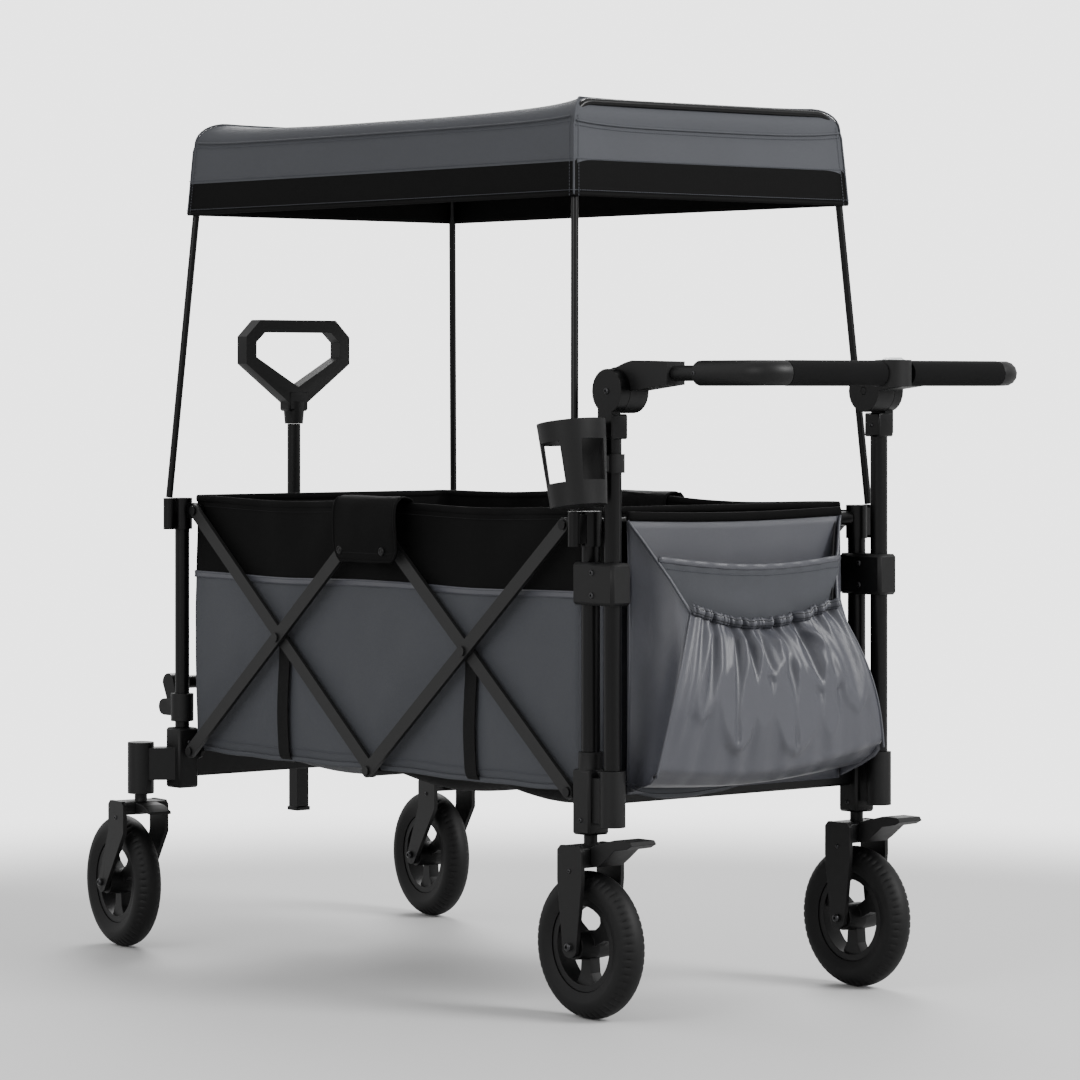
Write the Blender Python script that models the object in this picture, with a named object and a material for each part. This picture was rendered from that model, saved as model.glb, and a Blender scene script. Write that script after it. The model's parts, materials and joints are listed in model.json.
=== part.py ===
"""Folding pull wagon for small children: a scissor-frame wagon with a fabric tub, a canopy,
a push handle at the rear and a telescoping pull handle at the front.

Frame: +X is forward (the pull-handle end), +Y is left, +Z is up, and the ground is Z = 0.
All places below are worked out midway between the corner posts; ORIGIN_SHIFT then moves the
whole wagon so that the origin lies under the middle of its overall length.
"""
import math

import bmesh
import bpy
from mathutils import Matrix, Vector

# ---- driving dimensions, in metres -------------------------------------------------------
POST_SPAN_X = 0.902          # between front and rear corner posts
POST_SPAN_Y = 0.476          # between left and right corner posts
RIM_Z = 0.652                # top of the frame and of the fabric tub
SLIP = 0.0003                # gap between pieces that touch
RUNNING = 0.0004             # gap round a pin or a sliding tube

WHEEL_DIAMETER = 0.190
TYRE_SECTION = 0.040
RIM_SEAT_RADIUS = 0.060
AXLE_RADIUS = 0.005
FORK_GAP = 0.061             # between the inner faces of a fork's legs
FORK_PLATE = 0.006
FORK_HALF_LENGTH = 0.024       # half the fork's length at the crown
CROWN_SHARE = 0.15             # share of the trail by which a caster's crown is set back
PEDAL_HINGE_Z = WHEEL_DIAMETER + 0.009
LEVER_HINGE_Z = WHEEL_DIAMETER + 0.009
REAR_FORK_TOP = WHEEL_DIAMETER + 0.0345
FRONT_FORK_TOP = WHEEL_DIAMETER + 0.026
CASTER_TRAIL = 0.055
CASTER_TURN = math.radians(-8)   # the front casters stand slightly turned
SWIVEL_FORWARD = 0.035
SWIVEL_OUTBOARD = 0.048
SWIVEL_Z = (0.226, 0.300)
SWIVEL_RADIUS = 0.019

CASTING_Z = (0.237, 0.321)
CASTING_HALF = 0.0175
REAR_POST_RADIUS = 0.012
FRONT_POST_RADIUS = 0.0105
POST_WALL = 0.0018
GUIDE_ROD_TOP = RIM_Z - 0.054
FITTING_Z = RIM_Z - 0.045    # underside of the top corner fittings
FITTING_RADIUS = 0.0145
RAIL_RADIUS = 0.0095
TOP_RAIL_Z = RIM_Z - 0.018

PIVOT_INSET = 0.038          # from a corner post to its scissor pivots
PIVOT_LOW_Z = 0.289
PIVOT_HIGH_Z = TOP_RAIL_Z
BAR_WIDTH = 0.019
BAR_THICKNESS = 0.006
PIVOT_PLATE = 0.005
PIN_RADIUS = 0.004
PIN_HEAD_RADIUS = 0.0068
PIN_HEAD = 0.0025

HANDLE_TUBE_BACK = 0.043     # handle tube behind the rear post
HANDLE_TUBE_RADIUS = 0.0115
CLAMP_Z = (RIM_Z - 0.120, RIM_Z - 0.065)
HINGE_X_BACK = 0.047         # push-handle hinge axis behind the rear post
HINGE_Z = RIM_Z + 0.1545
HINGE_RADIUS = 0.0285
HINGE_SPLIT_Y = 0.2365       # between the fixed disc and the moving barrel
HINGE_DISC_Y = 0.252
HINGE_BARREL_Y = 0.205
ARM_Z = HINGE_Z + 0.0225
ARM_RADIUS = 0.010
ARM_SLEEVE_BACK = 0.097      # end of the moving sleeve behind the hinge axis
ELBOW_BACK = 0.1435          # start of the elbow grip behind the hinge axis
HANDLE_REACH = 0.2632        # crossbar behind the hinge axis
GRIP_RADIUS = 0.0162
ELBOW_BEND = 0.030
ELBOW_STRAIGHT = 0.003       # past the bend, before the foam
DRUM_RADIUS = 0.0235
DRUM_HEIGHT = 0.034
BUTTON_RADIUS = 0.0145
BUTTON_TRAVEL = 0.0035

YOKE_FORWARD = 0.036         # pull-handle hinge axis ahead of the front posts
YOKE_Z = 0.349
YOKE_BRACKET_Z = (0.330, 0.370)
YOKE_BAR_Z = 0.382
POLE_FORWARD = 0.049
POLE_RADIUS = 0.00975
POLE_SLEEVE_RADIUS = 0.0128
POLE_SLEEVE_TOP = RIM_Z - 0.012
GRIP_COLLAR_Z = POLE_SLEEVE_TOP + 0.117
GRIP_TOP_Z = GRIP_COLLAR_Z + 0.154
GRIP_HALF_WIDTH = 0.0955
LEG_FOOT_Z = 0.184

TUB_GAP_X = 0.015            # tub wall inside the line of the posts
TUB_GAP_Y = 0.006
TUB_FLOOR_Z = 0.298
TUB_WALL = 0.003
TUB_BOARD = 0.010
TUB_CORNER = 0.020

POCKET_HALF_WIDTH = 0.190
POCKET_BULGE = 0.104         # how far the pocket stands behind the rear posts
POCKET_Z = (0.293, RIM_Z - 0.012)
POCKET_WALL = 0.003

ROD_RADIUS = 0.005
ROD_OUTBOARD = 0.025         # canopy socket outside its post
ROD_FOOT_INSET = 0.003
HEM_Z = RIM_Z + 0.408
ROD_LEAN_X = 0.030           # how far a rod leans in between its socket and the hem
ROD_LEAN_Y = 0.025
CANOPY_TOP_Z = HEM_Z + 0.130
CANOPY_CORNER = 0.034
CLOTH = 0.002

CUP_RADIUS = 0.0445
CUP_BACK = 0.046               # cup behind and outside the rear post
CUP_OUTBOARD = 0.066
CUP_Z = (RIM_Z + 0.008, RIM_Z + 0.116)
CUP_TILT = math.radians(8)

# ---- values that follow from them --------------------------------------------------------
POST_X = POST_SPAN_X / 2
POST_Y = POST_SPAN_Y / 2
WHEEL_RADIUS = WHEEL_DIAMETER / 2
TYRE_RADIUS = TYRE_SECTION / 2
PIVOT_X = POST_X - PIVOT_INSET
PIVOT_MID_Z = (PIVOT_LOW_Z + PIVOT_HIGH_Z) / 2
TUBE_X = -POST_X - HANDLE_TUBE_BACK
HINGE_X = -POST_X - HINGE_X_BACK
CROSSBAR_X = HINGE_X - HANDLE_REACH
YOKE_X = POST_X + YOKE_FORWARD
POLE_X = POST_X + POLE_FORWARD
SWIVEL_X = POST_X + SWIVEL_FORWARD
SWIVEL_Y = POST_Y + SWIVEL_OUTBOARD
PLATE_Y = POST_Y - 0.0045                    # inner face of the pivot plates
INNER_BAR_Y = PLATE_Y + PIVOT_PLATE + 0.001  # inner face of the inner scissor bars
OUTER_BAR_Y = INNER_BAR_Y + BAR_THICKNESS + 0.001
TUB_X = POST_X - TUB_GAP_X
TUB_Y = POST_Y - TUB_GAP_Y
FORK_HALF = FORK_GAP / 2 + FORK_PLATE
FRONT_REACH = (SWIVEL_X + (CASTER_TRAIL + WHEEL_RADIUS - TYRE_RADIUS) * math.cos(CASTER_TURN)
               + TYRE_RADIUS)
REAR_REACH = CROSSBAR_X - DRUM_RADIUS
ORIGIN_SHIFT = Vector((-(FRONT_REACH + REAR_REACH) / 2, 0.0, 0.0))
SIDES = {"left": 1, "right": -1}

FINISHES = {
    # name: colour, roughness, metallic
    "frame_steel": ((0.028, 0.028, 0.029), 0.42, 0.35),
    "bar_steel": ((0.045, 0.045, 0.046), 0.45, 0.30),
    "moulded_plastic": ((0.030, 0.030, 0.031), 0.50, 0.0),
    "tyre_rubber": ((0.022, 0.022, 0.023), 0.70, 0.0),
    "foam": ((0.014, 0.014, 0.014), 0.85, 0.0),
    "button_plastic": ((0.35, 0.35, 0.36), 0.35, 0.0),
    "grey_fabric": ((0.085, 0.093, 0.110), 0.80, 0.0),
    "black_fabric": ((0.010, 0.010, 0.011), 0.85, 0.0),
}


# ---- shapes ------------------------------------------------------------------------------
def cylinder(start, end, radius, sides=16, end_radius=None):
    """A round bar from start to end, tapered when end_radius is given."""
    start, end = Vector(start), Vector(end)
    along = end - start
    shape = bmesh.new()
    bmesh.ops.create_cone(
        shape, cap_ends=True, segments=sides, radius1=radius,
        radius2=radius if end_radius is None else end_radius, depth=along.length)
    turn = along.to_track_quat("Z", "Y").to_matrix().to_4x4()
    bmesh.ops.transform(shape, matrix=Matrix.Translation((start + end) / 2) @ turn, verts=shape.verts)
    return shape


def block(low, high, bevel=0.0):
    """A box between two corners, its edges rounded by bevel."""
    shape = bmesh.new()
    bmesh.ops.create_cube(shape, size=1.0)
    low, high = Vector(low), Vector(high)
    size = Vector([abs(span) for span in high - low])
    bmesh.ops.scale(shape, vec=size, verts=shape.verts)
    bmesh.ops.translate(shape, vec=(low + high) / 2, verts=shape.verts)
    if bevel:
        bmesh.ops.bevel(shape, geom=shape.edges[:], offset=bevel, segments=1, affect="EDGES")
    return shape


def prism(outline, axis, near, far):
    """A flat outline pushed along an axis. The outline is (x, z) for Y, (x, y) for Z, (y, z) for X."""
    places = {
        "X": lambda a, b, depth: (depth, a, b),
        "Y": lambda a, b, depth: (a, depth, b),
        "Z": lambda a, b, depth: (a, b, depth),
    }
    shape = bmesh.new()
    face = shape.faces.new([shape.verts.new(places[axis](a, b, near)) for a, b in outline])
    pushed = bmesh.ops.extrude_face_region(shape, geom=[face])["geom"]
    moved = [item for item in pushed if isinstance(item, bmesh.types.BMVert)]
    bmesh.ops.translate(shape, vec=places[axis](0, 0, far - near), verts=moved)
    bmesh.ops.recalc_face_normals(shape, faces=shape.faces)
    return shape


def turned(profile, centre, sides=32):
    """A closed (radius, y) profile turned round the Y axis through centre."""
    shape = bmesh.new()
    rings = []
    for step in range(sides):
        angle = 2 * math.pi * step / sides
        rings.append([
            shape.verts.new((centre[0] + radius * math.cos(angle), centre[1] + across,
                             centre[2] + radius * math.sin(angle)))
            for radius, across in profile])
    for step in range(sides):
        ring, after = rings[step], rings[(step + 1) % sides]
        for index in range(len(profile)):
            following = (index + 1) % len(profile)
            shape.faces.new([ring[index], ring[following], after[following], after[index]])
    bmesh.ops.recalc_face_normals(shape, faces=shape.faces)
    return shape


def swept(path, radius, sides=12):
    """A round bar along a path of points."""
    path = [Vector(point) for point in path]
    shape = bmesh.new()
    rings = []
    normal = None
    for index, point in enumerate(path):
        before = path[max(index - 1, 0)]
        after = path[min(index + 1, len(path) - 1)]
        along = (after - before).normalized()
        if normal is None:
            normal = along.orthogonal().normalized()
        normal = (normal - along * normal.dot(along)).normalized()
        across = along.cross(normal)
        rings.append([
            shape.verts.new(point + radius * (normal * math.cos(angle) + across * math.sin(angle)))
            for angle in (2 * math.pi * step / sides for step in range(sides))])
    for ring, after in zip(rings, rings[1:]):
        for step in range(sides):
            following = (step + 1) % sides
            shape.faces.new([ring[step], ring[following], after[following], after[step]])
    shape.faces.new(rings[0])
    shape.faces.new(rings[-1])
    bmesh.ops.recalc_face_normals(shape, faces=shape.faces)
    return shape


def arc(centre, radius, start, end, steps=6):
    """Points of an arc in a plane, angles in degrees."""
    angles = [math.radians(start + (end - start) * step / steps) for step in range(steps + 1)]
    return [(centre[0] + radius * math.cos(a), centre[1] + radius * math.sin(a)) for a in angles]


def placed(shape, matrix):
    bmesh.ops.transform(shape, matrix=matrix, verts=shape.verts)
    return shape


def finish_material(name):
    material = bpy.data.materials.new(name)
    material.use_nodes = True
    colour, roughness, metallic = FINISHES[name]
    shader = material.node_tree.nodes["Principled BSDF"]
    shader.inputs["Base Color"].default_value = (*colour, 1.0)
    shader.inputs["Roughness"].default_value = roughness
    shader.inputs["Metallic"].default_value = metallic
    return material


def as_object(name, shape):
    mesh = bpy.data.meshes.new(name)
    shape.to_mesh(mesh)
    shape.free()
    body = bpy.data.objects.new(name, mesh)
    bpy.context.scene.collection.objects.link(body)
    return body


def solid(name, shapes, finish, cuts=(), pivot=(0.0, 0.0, 0.0)):
    """One sub-part: its shapes joined, its cuts taken out, its origin on the pivot."""
    body = as_object(name, shapes[0])
    helpers = []
    steps = [("UNION", shape) for shape in shapes[1:]] + [("DIFFERENCE", shape) for shape in cuts]
    for operation, shape in steps:
        helper = as_object("helper", shape)
        helpers.append(helper)
        modifier = body.modifiers.new(operation, "BOOLEAN")
        modifier.operation = operation
        modifier.object = helper
    depsgraph = bpy.context.evaluated_depsgraph_get()
    mesh = bpy.data.meshes.new_from_object(body.evaluated_get(depsgraph))
    body.modifiers.clear()
    body.data = mesh
    for helper in helpers:
        bpy.data.objects.remove(helper)
    mesh.name = name
    mesh.transform(Matrix.Translation(-Vector(pivot)))
    mesh.materials.clear()
    mesh.materials.append(bpy.data.materials[finish])
    mesh.shade_smooth()
    mesh.set_sharp_from_angle(angle=math.radians(35))
    body.location = Vector(pivot) + ORIGIN_SHIFT
    return body


# ---- wheels ------------------------------------------------------------------------------
def tyre_profile():
    """A tyre section, fuller than a circle, seated on the rim."""
    ring = WHEEL_RADIUS - TYRE_RADIUS
    tread = arc((ring, 0.0), TYRE_RADIUS, -90, 90, 8)
    inner = RIM_SEAT_RADIUS + SLIP
    return [(inner, -TYRE_RADIUS * 0.72)] + tread + [(inner, TYRE_RADIUS * 0.72)]


def rim_shapes(centre):
    """Rim ring, hub and three broad spokes, with a bore for the axle."""
    ring = turned([(0.051, -0.013), (RIM_SEAT_RADIUS, -0.013), (RIM_SEAT_RADIUS, 0.013), (0.051, 0.013)],
                  centre, 32)
    bore = AXLE_RADIUS + RUNNING
    hub = turned([(bore, -0.028), (0.017, -0.028), (0.019, 0.0), (0.017, 0.028), (bore, 0.028)], centre, 16)
    shapes = [ring, hub]
    for spoke in range(3):
        outline = [(0.012, -0.008), (0.035, -0.010), (0.0535, -0.020), (0.0535, 0.020), (0.035, 0.010),
                   (0.012, 0.008)]
        shape = prism(outline, "Y", -0.0085, 0.0085)
        turn = Matrix.Rotation(math.radians(90 + 120 * spoke), 4, "Y")
        shapes.append(placed(shape, Matrix.Translation(centre) @ turn))
    return shapes


def fork_leg_outline(axle, top_centre, top_z, half_top):
    """A leg plate's outline: round at the axle, a shoulder at the crown."""
    foot = arc(axle, 0.0145, 180 + 25, 360 - 25, 6)
    return foot + [
        (top_centre + half_top, top_z - 0.045), (top_centre + half_top, top_z - 0.006),
        (top_centre + half_top - 0.006, top_z), (top_centre - half_top + 0.006, top_z),
        (top_centre - half_top, top_z - 0.006), (top_centre - half_top, top_z - 0.045)]


def fork_shapes(trail, top_z, stem_top):
    """Crown, two legs, axle and stem, with the stem's axis through the origin."""
    half_top = FORK_HALF_LENGTH
    outline = fork_leg_outline((trail, WHEEL_RADIUS), trail * CROWN_SHARE, top_z, half_top)
    inner = FORK_GAP / 2
    low = WHEEL_DIAMETER + 0.007
    middle = trail * CROWN_SHARE
    return [
        block((middle - half_top + 0.001, -inner - 0.003, low),
              (middle + half_top - 0.001, inner + 0.003, top_z - 0.001), 0.002),
        prism(outline, "Y", inner, FORK_HALF),
        prism(outline, "Y", -FORK_HALF, -inner),
        cylinder((trail, -FORK_HALF - 0.003, WHEEL_RADIUS), (trail, FORK_HALF + 0.003, WHEEL_RADIUS),
                 AXLE_RADIUS, 12),
        cylinder((0, 0, low + 0.004), (0, 0, stem_top), 0.009, 14),
    ]


def wheel_set(end, side, fork_place, turn, trail, top_z, stem_top):
    """Fork, tyre and rim of one wheel."""
    name = f"{end}_{{}}_{side}"
    frame = Matrix.Translation((*fork_place, 0.0)) @ Matrix.Rotation(turn, 4, "Z")
    axle = frame @ Vector((trail, 0.0, WHEEL_RADIUS))
    shapes = [placed(shape, frame) for shape in fork_shapes(trail, top_z, stem_top)]
    solid(name.format("fork"), shapes, "moulded_plastic", pivot=(*fork_place, 0.0))
    centre = (trail, 0.0, WHEEL_RADIUS)
    solid(name.format("tyre"), [placed(turned(tyre_profile(), centre, 36), frame)], "tyre_rubber", pivot=axle)
    solid(name.format("rim"), [placed(shape, frame) for shape in rim_shapes(centre)], "moulded_plastic",
          pivot=axle)


def wheels():
    for side, sign in SIDES.items():
        wheel_set("rear", side, (-POST_X, sign * POST_Y), 0.0, 0.0, REAR_FORK_TOP, CASTING_Z[0] - SLIP)
        wheel_set("front", side, (SWIVEL_X, sign * SWIVEL_Y), CASTER_TURN, CASTER_TRAIL, FRONT_FORK_TOP,
                  SWIVEL_Z[0] - SLIP)
        brake_pedal(side, sign)
        swivel_lever(side, sign)


def brake_pedal(side, sign):
    """A scoop that rises behind the rear fork and is trodden down. It turns about its lower front edge."""
    back = -FORK_HALF_LENGTH - SLIP
    top = REAR_FORK_TOP
    outline = [(back, PEDAL_HINGE_Z), (back, top - 0.001), (-0.040, top + 0.0045), (-0.070, top + 0.0115),
               (-0.100, top + 0.0115), (-0.104, top + 0.0065), (-0.094, top + 0.0015), (-0.070, top - 0.0025),
               (-0.050, top - 0.0175), (-0.038, PEDAL_HINGE_Z)]
    frame = Matrix.Translation((-POST_X, sign * POST_Y, 0.0))
    shape = placed(prism(outline, "Y", -0.021, 0.021), frame)
    solid(f"brake_pedal_{side}", [shape], "moulded_plastic", pivot=frame @ Vector((back, 0.0, PEDAL_HINGE_Z)))


def swivel_lever(side, sign):
    """A flat lip behind the front fork that locks its swivel. It turns about its lower front edge."""
    back = CROWN_SHARE * CASTER_TRAIL - FORK_HALF_LENGTH - SLIP
    low = LEVER_HINGE_Z
    outline = [(back, low), (back, low + 0.015), (-0.040, low + 0.013), (-0.062, low + 0.005),
               (-0.062, low + 0.001), (-0.040, low + 0.004)]
    frame = Matrix.Translation((SWIVEL_X, sign * SWIVEL_Y, 0.0)) @ Matrix.Rotation(CASTER_TURN, 4, "Z")
    shape = placed(prism(outline, "Y", -0.017, 0.017), frame)
    solid(f"swivel_lever_{side}", [shape], "moulded_plastic",
          pivot=frame @ Vector((back, 0.0, LEVER_HINGE_Z)))


# ---- corner castings, posts and rails ----------------------------------------------------
def pivot_plate(end, sign, z):
    """The plate from a corner to its scissor pivot. end is -1 at the rear and 1 at the front."""
    near = end * (POST_X - CASTING_HALF * 0.6)
    tip = end * PIVOT_X
    half = 0.011
    outline = [(near, z - half), (tip, z - half)]
    outline += [(tip - end * math.sin(math.radians(a)) * half, z - math.cos(math.radians(a)) * half)
                for a in (45, 90, 135)]
    outline += [(tip, z + half), (near, z + half)]
    return prism(outline, "Y", sign * PLATE_Y, sign * (PLATE_Y + PIVOT_PLATE))


def pivot_pin(x, z, sign, from_y, through_y):
    """A headed pin that starts in one piece and passes through its neighbour."""
    outer = through_y + BAR_THICKNESS + 0.0006
    return [
        cylinder((x, sign * from_y, z), (x, sign * (outer + 0.001), z), PIN_RADIUS, 12),
        cylinder((x, sign * outer, z), (x, sign * (outer + PIN_HEAD), z), PIN_HEAD_RADIUS, 12),
    ]


def rear_castings():
    for side, sign in SIDES.items():
        y = sign * POST_Y
        shapes = [
            block((-POST_X - CASTING_HALF, y - CASTING_HALF, CASTING_Z[0]),
                  (-POST_X + CASTING_HALF, y + CASTING_HALF, CASTING_Z[1]), 0.003),
            cylinder((TUBE_X, y, CASTING_Z[0] + 0.012), (TUBE_X, y, CASTING_Z[1]), 0.0165, 18),
            block((TUBE_X, y - 0.012, CASTING_Z[0] + 0.016), (-POST_X, y + 0.012, CASTING_Z[1] - 0.010)),
            cylinder((-POST_X, y, CASTING_Z[1] - 0.01), (-POST_X, y, CASTING_Z[1] + 0.022), 0.0158, 18),
            cylinder((-POST_X, y, CASTING_Z[1]), (-POST_X, y, GUIDE_ROD_TOP),
                     guide_radius(REAR_POST_RADIUS), 12),
            pivot_plate(-1, sign, PIVOT_LOW_Z),
        ]
        shapes += pivot_pin(-PIVOT_X, PIVOT_LOW_Z, sign, PLATE_Y + 0.002, INNER_BAR_Y)
        solid(f"rear_casting_{side}", shapes, "moulded_plastic")


def guide_radius(post_radius):
    return post_radius - POST_WALL - RUNNING


def corner_post(end_name, end, side, sign, radius, low_z):
    """Sliding post tube with the top corner fitting, canopy socket and upper scissor plate."""
    x, y = end * POST_X, sign * POST_Y
    rod_x, rod_y = end * (POST_X - ROD_FOOT_INSET), sign * (POST_Y + ROD_OUTBOARD)
    shapes = [
        cylinder((x, y, low_z), (x, y, RIM_Z - 0.004), radius, 16),
        cylinder((x, y, FITTING_Z), (x, y, RIM_Z), FITTING_RADIUS, 18),
        cylinder((rod_x, rod_y, FITTING_Z), (rod_x, rod_y, RIM_Z), 0.0085, 14),
        block((x - 0.007, min(y, rod_y), FITTING_Z + 0.004), (x + 0.007, max(y, rod_y), RIM_Z - 0.004)),
        pivot_plate(end, sign, PIVOT_HIGH_Z),
    ]
    through = OUTER_BAR_Y if end < 0 else INNER_BAR_Y
    shapes += pivot_pin(end * PIVOT_X, PIVOT_HIGH_Z, sign, PLATE_Y + 0.002, through)
    bore = cylinder((x, y, low_z - 0.01), (x, y, GUIDE_ROD_TOP + 0.003), radius - POST_WALL, 16)
    solid(f"{end_name}_post_{side}", shapes, "frame_steel", cuts=[bore])


def posts_and_top_rails():
    for side, sign in SIDES.items():
        corner_post("rear", -1, side, sign, REAR_POST_RADIUS, CASTING_Z[1] + 0.022 + SLIP)
        corner_post("front", 1, side, sign, FRONT_POST_RADIUS, CASTING_Z[1] + SLIP)
    reach = POST_Y - FITTING_RADIUS - SLIP
    for name, end in (("rear_top_rail", -1), ("front_top_rail", 1)):
        x = end * POST_X
        solid(name, [cylinder((x, -reach, TOP_RAIL_Z), (x, reach, TOP_RAIL_Z), RAIL_RADIUS, 14)],
              "frame_steel")


def front_castings():
    low = CASTING_Z[0] - 0.0025
    for side, sign in SIDES.items():
        y = sign * POST_Y
        arm = [(POST_X - 0.012, sign * (POST_Y + 0.010)), (POST_X + 0.014, y - sign * 0.010),
               (SWIVEL_X + 0.014, sign * (SWIVEL_Y - 0.006)), (SWIVEL_X - 0.012, sign * (SWIVEL_Y + 0.008))]
        shapes = [
            block((POST_X - CASTING_HALF, y - CASTING_HALF, low),
                  (POST_X + CASTING_HALF, y + CASTING_HALF, CASTING_Z[1]), 0.003),
            prism(arm, "Z", SWIVEL_Z[0] + 0.020, SWIVEL_Z[1] - 0.008),
            cylinder((SWIVEL_X, sign * SWIVEL_Y, SWIVEL_Z[0]), (SWIVEL_X, sign * SWIVEL_Y, SWIVEL_Z[1]),
                     SWIVEL_RADIUS, 20),
            cylinder((POST_X, y, CASTING_Z[1] - 0.01), (POST_X, y, GUIDE_ROD_TOP),
                     guide_radius(FRONT_POST_RADIUS), 12),
            pivot_plate(1, sign, PIVOT_LOW_Z),
        ]
        shapes += pivot_pin(PIVOT_X, PIVOT_LOW_Z, sign, PLATE_Y + 0.002, OUTER_BAR_Y)
        solid(f"front_casting_{side}", shapes, "moulded_plastic")


def bottom_rails():
    reach = POST_Y - CASTING_HALF - SLIP
    rail_z = (CASTING_Z[0] + 0.013, PIVOT_LOW_Z)
    rear_z = (PIVOT_LOW_Z - 0.015, PIVOT_LOW_Z + 0.012)
    solid("rear_bottom_rail", [
        block((-POST_X - 0.010, -reach, rear_z[0]), (-POST_X + 0.010, reach, rear_z[1]), 0.002),
    ], "frame_steel")
    leg_x = POST_X + 0.037
    solid("front_bottom_rail", [
        block((POST_X - 0.010, -reach, rail_z[0]), (POST_X + 0.010, reach, rail_z[1]), 0.002),
        block((POST_X, -0.030, rail_z[0] + 0.004), (leg_x + 0.0105, 0.030, rail_z[1] - 0.004)),
        block((leg_x - 0.0105, -0.0105, LEG_FOOT_Z + 0.004), (leg_x + 0.0105, 0.0105, rail_z[1] - 0.006)),
        block((leg_x - 0.0125, -0.0125, LEG_FOOT_Z), (leg_x + 0.0125, 0.0125, LEG_FOOT_Z + 0.006), 0.001),
    ], "frame_steel")


# ---- scissor bars ------------------------------------------------------------------------
def scissor_bar(name, start, end, sign, inner_y, holes, pins, finish="bar_steel"):
    """A flat bar between two pivots, (x, z). holes and pins are places along its centre line."""
    start, end = Vector(start), Vector(end)
    along = math.degrees(math.atan2(end[1] - start[1], end[0] - start[0]))
    half = BAR_WIDTH / 2
    outline = arc(start, half, along + 90, along + 270, 8) + arc(end, half, along - 90, along + 90, 8)
    shapes = [prism(outline, "Y", sign * inner_y, sign * (inner_y + BAR_THICKNESS))]
    for x, z in pins:
        shapes += pivot_pin(x, z, sign, inner_y + BAR_THICKNESS / 2, OUTER_BAR_Y)
    cuts = [cylinder((x, sign * (inner_y - 0.002), z), (x, sign * (inner_y + BAR_THICKNESS + 0.002), z),
                     PIN_RADIUS + RUNNING, 12)
            for x, z in holes]
    solid(name, shapes, finish, cuts=cuts, pivot=(start[0], 0.0, start[1]))


def scissor_bars():
    """Two crossed pairs on each side. The inner bars carry the pins that the outer bars turn on."""
    rear_low, rear_high = (-PIVOT_X, PIVOT_LOW_Z), (-PIVOT_X, PIVOT_HIGH_Z)
    front_low, front_high = (PIVOT_X, PIVOT_LOW_Z), (PIVOT_X, PIVOT_HIGH_Z)
    mid_low, mid_high = (0.0, PIVOT_LOW_Z), (0.0, PIVOT_HIGH_Z)
    rear_cross, front_cross = (-PIVOT_X / 2, PIVOT_MID_Z), (PIVOT_X / 2, PIVOT_MID_Z)
    for side, sign in SIDES.items():
        scissor_bar(f"scissor_bar_a_{side}", rear_low, mid_high, sign, INNER_BAR_Y, [rear_low],
                    [rear_cross, mid_high])
        scissor_bar(f"scissor_bar_b_{side}", rear_high, mid_low, sign, OUTER_BAR_Y,
                    [rear_high, rear_cross, mid_low], [])
        scissor_bar(f"scissor_bar_c_{side}", mid_high, front_low, sign, OUTER_BAR_Y,
                    [mid_high, front_cross, front_low], [])
        scissor_bar(f"scissor_bar_d_{side}", mid_low, front_high, sign, INNER_BAR_Y, [front_high],
                    [mid_low, front_cross])
    reach = INNER_BAR_Y - SLIP
    solid("centre_cross_tube", [cylinder((0, -reach, PIVOT_LOW_Z), (0, reach, PIVOT_LOW_Z), 0.008, 14)],
          "frame_steel", pivot=(0.0, 0.0, PIVOT_LOW_Z))


# ---- push handle -------------------------------------------------------------------------
def handle_tubes():
    """Fixed tubes behind the rear posts, each with the fixed half of its hinge on top."""
    sleeve_top = HINGE_Z - HINGE_RADIUS - 0.0008
    for side, sign in SIDES.items():
        y = sign * POST_Y
        low, high = sorted((sign * HINGE_SPLIT_Y, sign * HINGE_DISC_Y))
        shapes = [
            cylinder((TUBE_X, y, CASTING_Z[1] + SLIP), (TUBE_X, y, sleeve_top), HANDLE_TUBE_RADIUS, 16),
            block((TUBE_X - 0.0145, y - 0.0140, HINGE_Z - 0.0615),
                  (TUBE_X + 0.0145, y + 0.0140, sleeve_top), 0.002),
            block((TUBE_X - 0.0135, low, HINGE_Z - 0.0565), (TUBE_X + 0.0135, high, HINGE_Z)),
            cylinder((HINGE_X, low, HINGE_Z), (HINGE_X, high, HINGE_Z), HINGE_RADIUS, 24),
            cylinder((HINGE_X, sign * (HINGE_DISC_Y - 0.004), HINGE_Z),
                     (HINGE_X, sign * HINGE_BARREL_Y, HINGE_Z),
                     AXLE_RADIUS, 12),
        ]
        solid(f"handle_tube_{side}", shapes, "frame_steel")
        clamp_y = 0.0170
        clamp = block((TUBE_X - 0.0185, y - clamp_y, CLAMP_Z[0]),
                      (-POST_X + 0.0185, y + clamp_y, CLAMP_Z[1]), 0.004)
        foot, top = CLAMP_Z[0] - 0.03, CLAMP_Z[1] + 0.03
        cuts = [cylinder((TUBE_X, y, foot), (TUBE_X, y, top), HANDLE_TUBE_RADIUS + SLIP, 16),
                cylinder((-POST_X, y, foot), (-POST_X, y, top), REAR_POST_RADIUS + RUNNING, 16)]
        solid(f"rear_clamp_{side}", [clamp], "moulded_plastic", cuts=cuts)


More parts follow.
